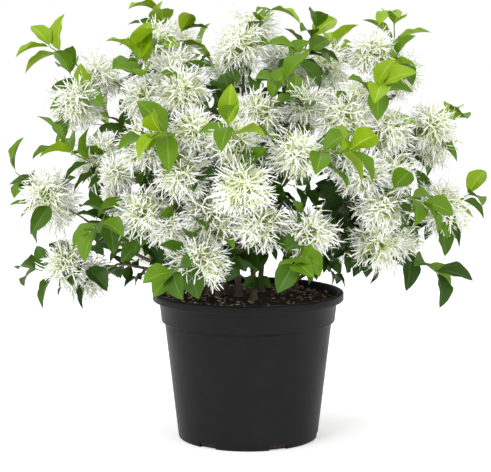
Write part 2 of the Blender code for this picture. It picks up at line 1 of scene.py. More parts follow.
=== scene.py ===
"""Looks of the potted fringe tree: pot, potting mix, bark, twigs, leaves and blossom.

Metres, +Z up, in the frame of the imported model. The plant grows here by the same seeded
rule as its solids: stems from the mix, boughs from the stems, and on each of them a mass
of twigs, leaves in opposite pairs and mops of fringed blossom. Finer twigs, leaves,
flower stalks and petals then fill each mass.
"""

import functools
import math
import random
from collections import namedtuple

import bmesh
import bpy
import numpy as np
from bpy.props import FloatProperty, FloatVectorProperty, IntProperty, PointerProperty
from mathutils import Matrix, Quaternion, Vector, noise
from mathutils.kdtree import KDTree


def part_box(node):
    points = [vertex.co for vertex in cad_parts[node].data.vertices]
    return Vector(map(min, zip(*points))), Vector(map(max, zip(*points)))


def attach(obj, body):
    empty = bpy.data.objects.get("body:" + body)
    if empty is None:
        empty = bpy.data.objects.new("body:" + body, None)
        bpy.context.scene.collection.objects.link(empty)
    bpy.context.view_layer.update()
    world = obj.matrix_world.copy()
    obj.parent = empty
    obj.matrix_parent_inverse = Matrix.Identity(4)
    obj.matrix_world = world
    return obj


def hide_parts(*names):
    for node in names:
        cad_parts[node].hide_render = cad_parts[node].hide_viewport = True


bl_info = {
    "name": "Potted Fringe Tree",
    "version": (1, 0, 0),
    "blender": (4, 5, 0),
    "location": "View3D > Sidebar > Fringe Tree",
    "description": "Makes the looks of a flowering fringe tree in a nursery pot",
    "category": "Object",
}

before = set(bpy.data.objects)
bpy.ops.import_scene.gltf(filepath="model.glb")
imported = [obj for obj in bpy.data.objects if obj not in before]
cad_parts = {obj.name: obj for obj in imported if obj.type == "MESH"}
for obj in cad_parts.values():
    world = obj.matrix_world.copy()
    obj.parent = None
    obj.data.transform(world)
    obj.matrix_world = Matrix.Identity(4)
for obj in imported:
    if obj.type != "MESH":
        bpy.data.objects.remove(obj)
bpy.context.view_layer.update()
POT_LOW, POT_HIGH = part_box("pot")
_, MIX_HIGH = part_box("potting_mix")

UP = Vector((0, 0, 1))
CLEAR = 0.0003

# Pot
RIM_DIAMETER = POT_HIGH.x - POT_LOW.x
POT_HEIGHT = POT_HIGH.z
BASE_DIAMETER = 0.206
MOUTH_DIAMETER = 0.262
COLLAR_TOP_DIAMETER = 0.2608
COLLAR_FOOT_DIAMETER = 0.2544
SHOULDER_DIAMETER = 0.2448
SHOULDER_HEIGHT = 0.003
WALL = 0.002
FLOOR = 0.003
POT_SIDES = 160
ARC_STEPS = 5

# Drain slots round the foot of the wall, open at the bottom
SLOTS = 6
SLOT_WIDTH = 0.028
SLOT_HEIGHT = 0.008
SLOT_DEPTH = 0.014
FIRST_SLOT = 25
SLOT_OVER = 1.6
SLOT_OUT = 0.2
SLOT_ROUND = 0.3
RADIAL = 0.9

# Potting mix
MIX_TOP = MIX_HIGH.z
MIX_EDGE = 0.2055
MIX_FLAT_DIAMETER = 0.216

# Limbs
FLARE_HEIGHT = 0.013
FLARE = 1.7
STEM_TIP_DIAMETER = 0.0034
BOUGH_SHARE = 0.78
BOUGH_MOST_DIAMETER = 0.0054
BOUGH_TIP_DIAMETER = 0.0030
BOUGH_COLLAR = 1.25
BOUGH_COLLAR_LENGTH = 0.009
BOUGH_RISE = 0.16
COLLAR_OUT = 0.6
COLLAR_AHEAD = 0.4
COLLAR_SKIP = 1.5
BOWS = (0, 0.012, -0.012, 0.024, -0.024, 0.036, -0.036)
SPANS = 2
LIMB_CLEAR = 0.0012
LIMB_STEP = 0.003
SPACE_STEP = 0.002
MOST_GIRTH = 0.012
FOOT_REACH = 0.052

# Twigs
TWIG_DIAMETER = 0.0028
TWIG_TIP_DIAMETER = 0.0020
SHOOT_TIP_DIAMETER = 0.0016
SHOOT_SHARE = 0.9
TWIG_START = 0.008
TWIG_BEND = 0.12

# Leaves, in opposite pairs, each pair a quarter turn from the last
LEAF_LENGTH = 0.056
LEAF_WIDTH = 0.0270
LEAF_ARCH = 0.06
LEAF_WIDEST = 0.44
LEAF_SUNK = 0.0004
LEAF_CLEAR = 0.0045
LEAF_SPREAD = 58
LEAF_GRID = [(share / 7, side) for share in range(1, 8) for side in (-1, 0, 1)]
LEAF_LEAN = 10
LEAF_DROOP = 0.35
LEAF_LIGHT = 0.8
LEAF_AHEAD = 0.7
LEAF_STRAY = 0.35
UPRIGHT = 0.95
LENGTHS = (0.85, 1.15)
WIDTHS = (0.9, 1.1)
LEADER_LENGTH = 0.078

# Where shoots leave a mass's main twig, and where pairs of leaves stand, as shares of length
FORKS = (0.30, 0.48, 0.64)
SHOOT_PAIRS = (0.45, 0.75)
LEADER_PAIRS = (0.50, 0.80)
LAST_PAIR = 0.97
LAST_SPREAD = 36
LEADER_LEAF = 0.95
MAIN_PAIRS = (0.62,)
FOOT_PAIRS = (0.32, 0.62, 0.94)
FOOT_LEAF = 0.72

# Blossom: a mop of fringes round each shoot's tip
MOP_RADIUS = 0.044
MOP_CORE = 0.46
MOP_DENSE = 0.90
MOP_SPREAD = 0.036
MOP_DROOP = 0.14
MOP_STRAY = 10
MOP_OUT = (-0.006, 0.012)
MOP_SIZES = (0.92, 1.1)
BURIED = ((0.5, MOP_CORE), (1.0, MOP_DENSE))

# Crown
CELL_GAP = 0.0012
CROWN_LEFT = -0.354
CROWN_RIGHT = 0.350
CROWN_TOP = 0.640
CROWN_DEPTH = 0.330
POT_CLEAR = 0.005

# Foot (x, y), elbows (x, y, z), thickness above the flare, and the mass that it carries
Stem = namedtuple("Stem", "foot elbows thickness carries")
STEMS = {
    "left_low": Stem((-0.058, 0.020), [(-0.172, 0.012, 0.252)], 0.0076, "left_skirt"),
    "left": Stem((-0.044, -0.006), [(-0.152, -0.010, 0.266)], 0.0078, "left_low"),
    "left_upright": Stem(
        (-0.034, 0.024), [(-0.117, 0.000, 0.345), (-0.176, 0.010, 0.450)], 0.0082, "left_shoulder"
    ),
    "middle": Stem((-0.014, 0.000), [(-0.018, -0.010, 0.327)], 0.0086, "top"),
    "middle_back": Stem((0.018, 0.040), [(0.034, 0.048, 0.380)], 0.0084, "top_right_mid"),
    "right": Stem(
        (0.046, 0.022), [(0.094, 0.012, 0.264), (0.139, 0.000, 0.312)], 0.0100, "top_right"
    ),
    "right_low": Stem(
        (0.060, 0.044), [(0.102, 0.050, 0.254), (0.185, 0.012, 0.303)], 0.0078, "right_low"
    ),
    "right_back": Stem((0.072, 0.066), [(0.122, 0.088, 0.246)], 0.0068, "back_low_right"),
    "back_left": Stem((-0.016, 0.058), [(-0.070, 0.110, 0.310)], 0.0078, "back_mid_left"),
    "front": Stem((0.008, -0.030), [(0.004, -0.088, 0.300)], 0.0086, "front_mid"),
}

# The stem that each bough leaves, and how far along it
Bough = namedtuple("Bough", "stem share carries")
BOUGHS = [
    Bough("left_upright", 0.62, "top_left"),
    Bough("left_upright", 0.46, "left_mid"),
    Bough("left", 0.50, "front_left"),
    Bough("middle", 0.62, "upper_left"),
    Bough("middle", 0.40, "front_upper_left"),
    Bough("middle_back", 0.66, "upper_mid"),
    Bough("middle_back", 0.74, "back_upper_right"),
    Bough("middle_back", 0.38, "back_mid"),
    Bough("right", 0.66, "right_upper"),
    Bough("right", 0.54, "upper_right"),
    Bough("right", 0.34, "front_right"),
    Bough("right_back", 0.52, "back_mid_right"),
    Bough("back_left", 0.66, "back_upper_left"),
    Bough("back_left", 0.40, "back_low_left"),
    Bough("front", 0.38, "front_low_right"),
    Bough("front", 0.28, "front_low_left"),
    Bough("front", 0.62, "front_right_mid"),
]

# Masses whose own twig leaves a stem's side
SIDE_TWIGS = {
    "right_skirt": ("right_low", 0.66),
    "foot_left": ("front", 0.14),
    "foot_right": ("right", 0.12),
}

# Centre, number of mops, turn of the mops round the mass, and the leader's heading and pitch
Mass = namedtuple("Mass", "centre mops turn leader")
MASSES = {
    "left_skirt": Mass((-0.246, 0.000, 0.255), 2, 335, (170, -5)),
    "left_low": Mass((-0.280, -0.020, 0.353), 2, 335, (172, 35)),
    "left_shoulder": Mass((-0.237, 0.020, 0.503), 3, 75, (172, 52)),
    "left_mid": Mass((-0.194, -0.100, 0.411), 2, 190, (195, 20)),
    "upper_left": Mass((-0.108, -0.090, 0.518), 3, 305, (215, 40)),
    "top_left": Mass((-0.128, 0.080, 0.574), 2, 355, (110, 60)),
    "top": Mass((-0.004, -0.020, 0.583), 2, 100, (20, 50)),
    "top_right_mid": Mass((0.060, 0.030, 0.540), 2, 225, (15, 55)),
    "top_right": Mass((0.199, 0.000, 0.551), 2, 230, (60, 72)),
    "right_upper": Mass((0.262, -0.010, 0.453), 2, 200, (0, 50)),
    "right_low": Mass((0.280, -0.030, 0.338), 2, 205, (330, 40)),
    "right_skirt": Mass((0.198, -0.090, 0.297), 2, 185, (330, -25)),
    "upper_mid": Mass((0.048, -0.130, 0.488), 2, 0, (270, 30)),
    "upper_right": Mass((0.152, -0.120, 0.476), 3, 120, (300, 40)),
    "front_left": Mass((-0.163, -0.155, 0.359), 2, 20, (235, -20)),
    "front_upper_left": Mass((-0.094, -0.200, 0.438), 3, 130, (250, 25)),
    "front_mid": Mass((-0.012, -0.250, 0.427), 2, 80, (250, 50)),
    "front_right_mid": Mass((0.093, -0.215, 0.432), 2, 5, (300, 10)),
    "front_right": Mass((0.171, -0.165, 0.391), 3, 30, (320, -15)),
    "front_low_left": Mass((-0.074, -0.200, 0.325), 3, 255, (250, -30)),
    "front_low_right": Mass((0.044, -0.205, 0.341), 2, 190, (285, -35)),
    "foot_left": Mass((-0.030, -0.070, 0.246), 0, 0, (206, 10)),
    "foot_right": Mass((0.052, -0.050, 0.252), 0, 0, (300, 30)),
    "back_low_right": Mass((0.135, 0.160, 0.270), 2, 20, (40, -10)),
    "back_low_left": Mass((-0.130, 0.175, 0.300), 2, 60, (130, -15)),
    "back_mid": Mass((0.005, 0.245, 0.400), 2, 10, (80, -50)),
    "back_mid_right": Mass((0.205, 0.150, 0.395), 2, 20, (35, 15)),
    "back_mid_left": Mass((-0.190, 0.150, 0.420), 2, 45, (150, 20)),
    "back_upper_left": Mass((-0.060, 0.165, 0.520), 2, 30, (110, 35)),
    "back_upper_right": Mass((0.105, 0.160, 0.515), 2, 60, (60, 40)),
}
HEART = Vector((0, 0, 0.30))

Limb = namedtuple("Limb", "route girths")
Leaf = namedtuple("Leaf", "base along face length width")
Mop = namedtuple("Mop", "centre reach turn")
Sprays = namedtuple("Sprays", "twigs leaves mops")


def spline(stations, spans=SPANS):
    """Points on a smooth curve through the stations."""
    ends = [2 * stations[0] - stations[1], *stations, 2 * stations[-1] - stations[-2]]
    points = []
    for a, b, c, d in zip(ends, ends[1:], ends[2:], ends[3:]):
        for step in range(spans):
            t = step / spans
            bend = (2 * a - 5 * b + 4 * c - d) * t + (3 * b - a - 3 * c + d) * t * t
            points.append(b + ((c - a) + bend) * t / 2)
    return [*points, stations[-1].copy()]


def lengths_along(route):
    """The distance from the route's start to each of its points."""
    total = [0.0]
    for a, b in zip(route, route[1:]):
        total.append(total[-1] + (b - a).length)
    return total


def tapered(route, start, end):
    """A radius for each point of the route, from start to end."""
    along = lengths_along(route)
    return [start + (end - start) * far / along[-1] for far in along]


def point_along(limb, share):
    """The place, direction and radius at a share of a limb's length."""
    along = lengths_along(limb.route)
    want = share * along[-1]
    k = next(i for i in range(1, len(along)) if along[i] >= want - 1e-9)
    t = (want - along[k - 1]) / (along[k] - along[k - 1])
    place = limb.route[k - 1].lerp(limb.route[k], t)
    heading = (limb.route[k] - limb.route[k - 1]).normalized()
    return place, heading, limb.girths[k - 1] + t * (limb.girths[k] - limb.girths[k - 1])


def square_to(vector, axis):
    """The part of a vector that is square to an axis, as a unit vector."""
    return (vector - axis * vector.dot(axis)).normalized()


def heading_of(azimuth, pitch):
    """A unit vector from a compass heading and a pitch above level, in degrees."""
    level = math.cos(math.radians(pitch))
    turn = math.radians(azimuth)
    return Vector((level * math.cos(turn), level * math.sin(turn), math.sin(math.radians(pitch))))


class Space:
    """The limbs and twigs grown so far, which nothing new may touch."""

    def __init__(self):
        self.points = []
        self.tree = None

    def add(self, limb, owner):
        for k in range(len(limb.route) - 1):
            a, b = limb.route[k], limb.route[k + 1]
            steps = max(1, math.ceil((b - a).length / SPACE_STEP))
            for step in range(steps + 1):
                girth = limb.girths[k] + (limb.girths[k + 1] - limb.girths[k]) * step / steps
                self.points.append((a.lerp(b, step / steps), girth, owner))

    def settle(self):
        self.tree = KDTree(len(self.points))
        for index, (place, _, _) in enumerate(self.points):
            self.tree.insert(place, index)
        self.tree.balance()

    def clear(self, place, room, owners=()):
        """True where a point is more than room from every limb but the owners'."""
        for _, index, far in self.tree.find_range(place, room + MOST_GIRTH):
            _, girth, owner = self.points[index]
            if owner not in owners and far < girth + room:
                return False
        return True

    def clear_limb(self, limb, owners, skip=0.0):
        """True where a limb, past its first stretch of skip, clears every other."""
        along = lengths_along(limb.route)
        steps = math.ceil(along[-1] / LIMB_STEP)
        for step in range(steps + 1):
            if step / steps * along[-1] < skip:
                continue
            place, _, girth = point_along(limb, step / steps)
            if not self.clear(place, girth + LIMB_CLEAR, owners):
                return False
        return True


def in_pot(place, room=POT_CLEAR):
    return place.z < POT_HEIGHT + room and place.xy.length < RIM_DIAMETER / 2 + room


class Cell:
    """The space that one mass keeps to: what lies nearer its centre than any other's."""

    def __init__(self, name):
        self.own_twig = (name + " twig",)
        self.centre = Vector(MASSES[name].centre)
        self.walls = []
        for other, mass in MASSES.items():
            if other == name:
                continue
            away = Vector(mass.centre) - self.centre
            self.walls.append((away.normalized(), away.length / 2 - CELL_GAP / 2))
        self.walls.append((Vector((1, 0, 0)), CROWN_RIGHT - self.centre.x))
        self.walls.append((Vector((-1, 0, 0)), self.centre.x - CROWN_LEFT))
        self.walls.append((Vector((0, 1, 0)), CROWN_DEPTH - self.centre.y))
        self.walls.append((Vector((0, -1, 0)), self.centre.y + CROWN_DEPTH))
        self.walls.append((UP, CROWN_TOP - self.centre.z))

    def holds(self, place):
        offset = place - self.centre
        return not in_pot(place) and all(offset.dot(n) < far for n, far in self.walls)

    def room(self, place):
        """The distance from a place to the nearest wall."""
        offset = place - self.centre
        return min(far - offset.dot(n) for n, far in self.walls)

    def reach(self, place, heading, most):
        """How far a point may go from a place along a heading before it meets a wall."""
        offset = place - self.centre
        for n, far in self.walls:
            speed = heading.dot(n)
            if speed > 1e-6:
                most = min(most, (far - offset.dot(n)) / speed)
        return most


def grow_stems():
    stems = {}
    for name, plan in STEMS.items():
        foot = Vector((*plan.foot, MIX_TOP + CLEAR))
        elbows = [Vector(elbow) for elbow in plan.elbows]
        centre = Vector(MASSES[plan.carries].centre)
        tip = centre + (elbows[-1] - centre).normalized() * FOOT_REACH
        route = spline([foot, foot + UP * FLARE_HEIGHT, *elbows, tip])
        girths = tapered(route, plan.thickness / 2, STEM_TIP_DIAMETER / 2)
        for k in range(SPANS):
            girths[k] *= 1 + (FLARE - 1) * (1 - k / SPANS) ** 2
            route[k] = foot + UP * FLARE_HEIGHT * k / SPANS
        stems[name] = Limb(route, girths)
    return stems


def grow_from_side(limb, share, target, start, end, bow, spans=SPANS):
    """A limb that leaves another's side flush with it, and rises to a target."""
    place, heading, girth = point_along(limb, share)
    side = square_to(target - place, heading)
    base = place + side * (girth + CLEAR)
    out = side * BOUGH_COLLAR_LENGTH * COLLAR_OUT
    collar = base + out + heading * BOUGH_COLLAR_LENGTH * COLLAR_AHEAD
    span = target - base
    across = span.cross(heading).normalized()
    elbow = base + span * 0.5 + square_to(UP, span.normalized()) * span.length * BOUGH_RISE
    route = spline([base, collar, elbow + across * bow, target], spans)
    girths = tapered(route, start, end)
    for k in range(spans):
        girths[k] *= 1 + (BOUGH_COLLAR - 1) * (1 - k / spans)
    route[1] = base + side * (route[1] - base).length
    return Limb(route, girths)


def grow_boughs(stems, space):
    boughs = {}
    for plan in BOUGHS:
        stem = stems[plan.stem]
        place, _, girth = point_along(stem, plan.share)
        start = min(girth * BOUGH_SHARE, BOUGH_MOST_DIAMETER / 2)
        centre = Vector(MASSES[plan.carries].centre)
        target = centre + (place - centre).normalized() * FOOT_REACH
        for bow in BOWS:
            bough = grow_from_side(
                stem, plan.share, target, start, BOUGH_TIP_DIAMETER / 2, bow
            )
            if space.clear_limb(bough, (), BOUGH_COLLAR_LENGTH * COLLAR_SKIP):
                break
        boughs[plan.carries] = bough
        space.add(bough, plan.carries)
        space.settle()
    return boughs


def fan_of_mops(name):
    """The places and reaches of a mass's mops, fanned round its centre."""
    rng = random.Random(f"mops of {name}")
    plan = MASSES[name]
    centre = Vector(plan.centre)
    outward = (centre - HEART).normalized()
    across = outward.cross(UP).normalized()
    upward = across.cross(outward)
    mops = []
    for k in range(plan.mops):
        turn = math.radians(plan.turn + 360 * k / plan.mops + rng.uniform(-MOP_STRAY, MOP_STRAY))
        wide = MOP_SPREAD * rng.uniform(*WIDTHS)
        fan = (upward * math.sin(turn) + across * math.cos(turn)) * wide
        spin = Quaternion([rng.uniform(-1, 1) for _ in range(4)]).normalized()
        place = centre + fan + outward * rng.uniform(*MOP_OUT)
        mops.append(Mop(place, MOP_RADIUS * rng.uniform(*MOP_SIZES), spin))
    return mops


def leader_tip(name):
    """Where the leafy leader of a mass ends."""
    rng = random.Random(f"leader of {name}")
    length = LEADER_LENGTH * rng.uniform(*LENGTHS)
    return Vector(MASSES[name].centre) + heading_of(*MASSES[name].leader) * length


def grow_main_twig(name, limbs):
    """The one stem of a mass, from its limb to its first mop, or to its leader's tip."""
    mops = fan_of_mops(name)
    end = mops[0].centre if mops else leader_tip(name)
    start, tip = TWIG_DIAMETER / 2, TWIG_TIP_DIAMETER / 2
    if name in SIDE_TWIGS:
        stem, share = SIDE_TWIGS[name]
        return grow_from_side(limbs[stem], share, end, start, tip, 0, 1)
    carrier = limbs[name]
    heading = (carrier.route[-1] - carrier.route[-2]).normalized()
    base = carrier.route[-1] + heading * CLEAR
    straight = base + heading * TWIG_START
    bend = straight.lerp(end, 0.5) + heading * (end - straight).length * TWIG_BEND
    route = [base, straight, bend, end]
    return Limb(route, tapered(route, start, tip))


def leaf_point(leaf, share, side=0.0):
    """A place on a leaf's blade: share runs from base to tip, side from -1 to 1."""
    across = leaf.along.cross(leaf.face)
    arch = leaf.face * leaf.length * LEAF_ARCH * 4 * share * (1 - share)
    half = leaf.width / 2 * min(1, share / LEAF_WIDEST, (1 - share) / (1 - LEAF_WIDEST))
    return leaf.base + leaf.along * leaf.length * share + arch + across * half * side


def leaf_fits(leaf, cell, space):
    for share, side in LEAF_GRID:
        place = leaf_point(leaf, share, side)
        if not cell.holds(place) or not space.clear(place, LEAF_CLEAR, cell.own_twig):
            return False
    return True


def stray(rng, most):
    """A small chance offset along each axis."""
    return Vector([rng.uniform(-most, most) for _ in range(3)])


def leaf_pair(rng, twig, share, turn, spread, size):
    """Two leaves that face each other across a twig."""
    place, heading, _ = point_along(twig, share)
    level = heading.cross(UP if abs(heading.z) < UPRIGHT else Vector((1, 0, 0)))
    level = Quaternion(heading, turn) @ level.normalized()
    pair = []
    for side in (level, -level):
        lean = math.radians(spread + rng.uniform(-LEAF_LEAN, LEAF_LEAN))
        droop = UP * rng.uniform(0.0, LEAF_DROOP)
        along = (heading * math.cos(lean) + side * math.sin(lean) - droop).normalized()
        light = UP * LEAF_LIGHT + heading * LEAF_AHEAD + stray(rng, LEAF_STRAY)
        length = LEAF_LENGTH * size * rng.uniform(*LENGTHS)
        width = LEAF_WIDTH * size * rng.uniform(*WIDTHS)
        base = place - along * LEAF_SUNK
        pair.append(Leaf(base, along, square_to(light, along), length, width))
    return pair


def pairs_of_leaves(rng, twig, pairs, scale, fits):
    """The leaves of a twig that fit, from the share of length, size and spread of each pair."""
    turn = rng.uniform(0, math.pi)
    leaves = []
    for share, size, spread in pairs:
        leaves += filter(fits, leaf_pair(rng, twig, share, turn, spread, size * scale))
        turn += math.pi / 2
    return leaves


def in_heads(leaf, mops, depths):
    """True where a share of the leaf's length lies within a depth of any head."""
    return any(
        (leaf_point(leaf, share) - mop.centre).length < mop.reach * depth
        for mop in mops
        for share, depth in depths
    )


def grow_mass(name, main, space):
    """Everything in one mass: its shoots, leaves and mops."""
    rng = random.Random(name)
    cell = Cell(name)
    mops = [
        mop._replace(reach=min(mop.reach, cell.room(mop.centre) / MOP_CORE))
        for mop in fan_of_mops(name)
        if space.clear(mop.centre, MOP_RADIUS * MOP_CORE, cell.own_twig)
    ]
    twigs, leaves = [main], []

    def fits(leaf):
        return leaf_fits(leaf, cell, space)

    def sprout(twig, shares, size):
        pairs = [(share, size, LEAF_SPREAD) for share in shares]
        leaves.extend(
            pairs_of_leaves(
                rng, twig, pairs, 1, lambda leaf: not in_heads(leaf, mops, BURIED) and fits(leaf)
            )
        )

    def branch(start, end, shares, size):
        place, heading, girth = point_along(main, start)
        bend = place.lerp(end, 0.5) + heading * (end - place).length * TWIG_BEND
        route = [place, bend, end]
        twig = Limb(route, tapered(route, girth * SHOOT_SHARE, SHOOT_TIP_DIAMETER / 2))
        inside = all(cell.holds(point) for point in route[1:])
        if not inside or not space.clear_limb(twig, cell.own_twig):
            return False
        twigs.append(twig)
        sprout(twig, shares, size)
        return True

    if not mops:
        sprout(main, FOOT_PAIRS, FOOT_LEAF)
        return Sprays(twigs, leaves, mops)
    mops = mops[:1] + [
        mop for mop, fork in zip(mops[1:], FORKS) if branch(fork, mop.centre, SHOOT_PAIRS, 1.0)
    ]
    if branch(FORKS[-1], leader_tip(name), LEADER_PAIRS, LEADER_LEAF):
        last = [(LAST_PAIR, LEADER_LEAF, LAST_SPREAD)]
        leaves += pairs_of_leaves(rng, twigs[-1], last, 1, fits)
    sprout(main, MAIN_PAIRS, 1.0)
    return Sprays(twigs, leaves, mops)


def grow():
    """The whole plant as limbs and sprays, before any mesh is made."""
    space = Space()
    stems = grow_stems()
    for name, stem in stems.items():
        space.add(stem, name)
    space.settle()
    boughs = grow_boughs(stems, space)
    limbs = dict(stems)
    limbs.update(boughs)
    limbs.update({plan.carries: stems[name] for name, plan in STEMS.items()})
    mains = {name: grow_main_twig(name, limbs) for name in MASSES}
    for name, main in mains.items():
        space.add(main, name + " twig")
    space.settle()
    masses = {name: grow_mass(name, mains[name], space) for name in MASSES}
    return space, stems, boughs, masses


# Finer growth that only the looks have. A pair is its share of length, size and spread.
FINE_STEP = 0.030
FINE_LENGTH = 0.042
FINE_LENGTHS = (0.6, 1.2)
FINE_LEAST = 0.018
FINE_DIAMETER = 0.0014
FINE_TIP_DIAMETER = 0.0009
FINE_PLACES = (0.4, 0.9)
FINE_TURNS = (1.7, 2.9)
FINE_AHEAD = 0.5
FINE_RISE = 0.2
FINE_BEND = 0.1
FINE_PAIRS = ((0.45, 0.72, 52), (0.96, 0.88, 38))
HEAD_CLEAR = 0.98

# The same along stems and boughs, from where they are no longer bare
INNER_STEP = 0.021
INNER_LENGTH = 0.030
INNER_LENGTHS = (0.6, 1.3)
INNER_PLACES = (0.1, 0.9)
INNER_AHEAD = 0.35
INNER_RISE = 0.3
INNER_PAIRS = ((0.5, 0.85, 52), (0.96, 1.0, 52))
INNER_SIZE = 0.78
INNER_LAST = 0.97
STEM_BARE = 0.10
BOUGH_BARE = 0.15
FOOT_HEIGHT = 0.29
FOOT_SIZE = 0.55

Fine = namedtuple("Fine", "twigs leaves")


def aim_sideways(heading, turn, ahead, rise):
    """The direction of a shoot that leaves a limb's side."""
    side = Quaternion(heading, turn) @ heading.orthogonal().normalized()
    return (heading * ahead + side + UP * rise).normalized()


def fine_twig(place, heading, end, reach):
    route = [place, place.lerp(end, 0.5) + heading * reach * FINE_BEND, end]
    return Limb(route, tapered(route, FINE_DIAMETER / 2, FINE_TIP_DIAMETER / 2))


def grow_fine(name, sprays):
    """Side twigs on every flowering twig of a mass, each with two pairs of leaves."""
    rng = random.Random(f"fine growth of {name}")
    cell = Cell(name)
    twigs, leaves = [], []

    def fits(leaf):
        inside = all(cell.holds(leaf_point(leaf, share)) for share in (0.5, 1.0))
        depths = ((0.5, HEAD_CLEAR), (1.0, HEAD_CLEAR))
        return inside and not in_heads(leaf, sprays.mops, depths)

    for parent in sprays.twigs:
        if sprays.mops and not any(ends_in(parent, mop) for mop in sprays.mops):
            continue
        count = int(lengths_along(parent.route)[-1] / FINE_STEP)
        turn = rng.uniform(0, math.tau)
        for k in range(count):
            place, heading, _ = point_along(parent, (k + rng.uniform(*FINE_PLACES)) / count)
            turn += rng.uniform(*FINE_TURNS)
            aim = aim_sideways(heading, turn, FINE_AHEAD, FINE_RISE)
            reach = cell.reach(place, aim, FINE_LENGTH * rng.uniform(*FINE_LENGTHS))
            end = place + aim * reach
            if reach < FINE_LEAST or in_pot(end):
                continue
            twigs.append(fine_twig(place, heading, end, reach))
            leaves += pairs_of_leaves(rng, twigs[-1], FINE_PAIRS, 1, fits)
    return Fine(twigs, leaves)


def grow_inner(name, limb, bare):
    """Short leafy shoots along a stem or bough, smaller towards the foot."""
    rng = random.Random(f"inner growth of {name}")
    count = int(lengths_along(limb.route)[-1] / INNER_STEP)
    turn = rng.uniform(0, math.tau)
    twigs, leaves = [], []

    def fits(leaf):
        return not any(in_pot(leaf_point(leaf, share)) for share in (0.5, 1.0))

    for k in range(count):
        share = bare + (INNER_LAST - bare) * (k + rng.uniform(*INNER_PLACES)) / count
        place, heading, _ = point_along(limb, share)
        turn += rng.uniform(*FINE_TURNS)
        aim = aim_sideways(heading, turn, INNER_AHEAD, INNER_RISE)
        reach = INNER_LENGTH * rng.uniform(*INNER_LENGTHS)
        end = place + aim * reach
        if in_pot(end):
            continue
        twigs.append(fine_twig(place, heading, end, reach))
        size = FOOT_SIZE if place.z < FOOT_HEIGHT else INNER_SIZE
        leaves += pairs_of_leaves(rng, twigs[-1], INNER_PAIRS, size, fits)
    return Fine(twigs, leaves)


def trimmed(twig, leaves):
    """A leader cut back to its outermost leaf, or nothing where it bears none."""
    bearing = 0
    for share in (*LEADER_PAIRS, LAST_PAIR):
        place = point_along(twig, share)[0]
        if any((leaf.base - place).length < 2 * LEAF_SUNK for leaf in leaves):
            bearing = share
    if not bearing:
        return None
    steps = 6
    parts = [point_along(twig, bearing * k / steps) for k in range(steps + 1)]
    return Limb([place for place, _, _ in parts], [girth for _, _, girth in parts])


def ends_in(twig, mop):
    """True for a shoot that carries the mop, and not for the leafy leader."""
    return (twig.route[-1] - mop.centre).length < CLEAR


@functools.lru_cache(maxsize=None)
def plant():
    """Stems, boughs, masses and their finer growth, worked out once."""
    _, stems, boughs, masses = grow()
    fine = {name: grow_fine(name, sprays) for name, sprays in masses.items()}
    for kind, limbs, bare in (("stem", stems, STEM_BARE), ("bough", boughs, BOUGH_BARE)):
        for name, limb in limbs.items():
            fine[f"{kind} {name}"] = grow_inner(name, limb, bare)
    return stems, boughs, masses, fine


def colour(name, description, value):
    return FloatVectorProperty(
        name=name, description=description, subtype="COLOR", size=3, min=0, max=1, default=value
    )


def length(name, description, value):
    return FloatProperty(
        name=name, description=description, default=value, min=0, unit="LENGTH", precision=4
    )


def power(name, description, value):
    return FloatProperty(name=name, description=description, default=value, unit="POWER")


class PotSettings(bpy.types.PropertyGroup):
    """Sizes and colours of the pot and its potting mix"""

    lip_height: length("Lip height", "Height of the rolled lip", 0.0115)
    lip_round: length("Lip round", "Radius of the lip's edges", 0.0025)
    collar_height: length("Collar height", "Height of the collar under the lip", 0.031)
    base_round: length("Base round", "Radius of the edge under the wall", 0.003)
    plastic: colour("Plastic", "Colour of the pot", (0.0130, 0.0130, 0.0138))
    scuff: colour("Scuff", "Colour of dusty scuffs", (0.019, 0.019, 0.020))
    mix: colour("Mix", "Colour of the damp potting mix", (0.026, 0.014, 0.008))
    mix_dry: colour("Dry mix", "Colour of its drier crumbs", (0.085, 0.048, 0.026))
    chips: IntProperty(name="Chips", description="Bark chips on the mix", default=900, min=0)
    chip_dark: colour("Dark chips", "Colour of wet bark chips", (0.050, 0.026, 0.014))
    chip_tan: colour("Tan chips", "Colour of drier bark chips", (0.40, 0.26, 0.165))
    chip_pale: colour("Pale chips", "Colour of the driest chips", (0.68, 0.53, 0.43))
    chip_length: length("Chip length", "Length of a bark chip", 0.0075)


class PlantSettings(bpy.types.PropertyGroup):
    """Sizes and colours of bark, twigs, leaves and blossom"""

    bark: colour("Bark", "Colour of the bark", (0.190, 0.140, 0.098))
    bark_dark: colour("Bark furrows", "Colour between the bark's ridges", (0.055, 0.036, 0.024))
    shoot: colour("Shoots", "Colour of green twigs", (0.17, 0.22, 0.05))
    # Leaf tints: new leaves are partly real fresh growth and partly painted light; deep and dark
    # leaves are painted shade inside and under the crown
    new_and_lit_leaf: colour("New leaves", "Colour of leaves at the tips", (0.215, 0.345, 0.004))
    leaf: colour("Leaves", "Colour of grown leaves", (0.100, 0.205, 0.003))
    shaded_leaf: colour("Deep leaves", "Colour of leaves inside the crown", (0.048, 0.118, 0.003))
    shadowed_leaf: colour("Dark leaves", "Colour of the lowest leaves", (0.026, 0.070, 0.003))
    petal: colour("Petals", "Colour of the petals", (0.98, 0.985, 0.96))
    # Inner petals: a greenish cream that is painted shade deep in a head
    shaded_cream: colour("Inner petals", "Colour of petals deep in a head", (0.91, 0.945, 0.70))
    throat: colour("Throats", "Colour of the petals' roots", (0.66, 0.76, 0.36))
    stalk: colour("Stalks", "Colour of the flower stalks", (0.48, 0.58, 0.14))
    flowers: IntProperty(name="Flowers", description="Flowers in a head", default=185, min=1)
    petal_length: length("Petal length", "Length of a petal", 0.0172)
    petal_width: length("Petal width", "Width of a petal", 0.0016)


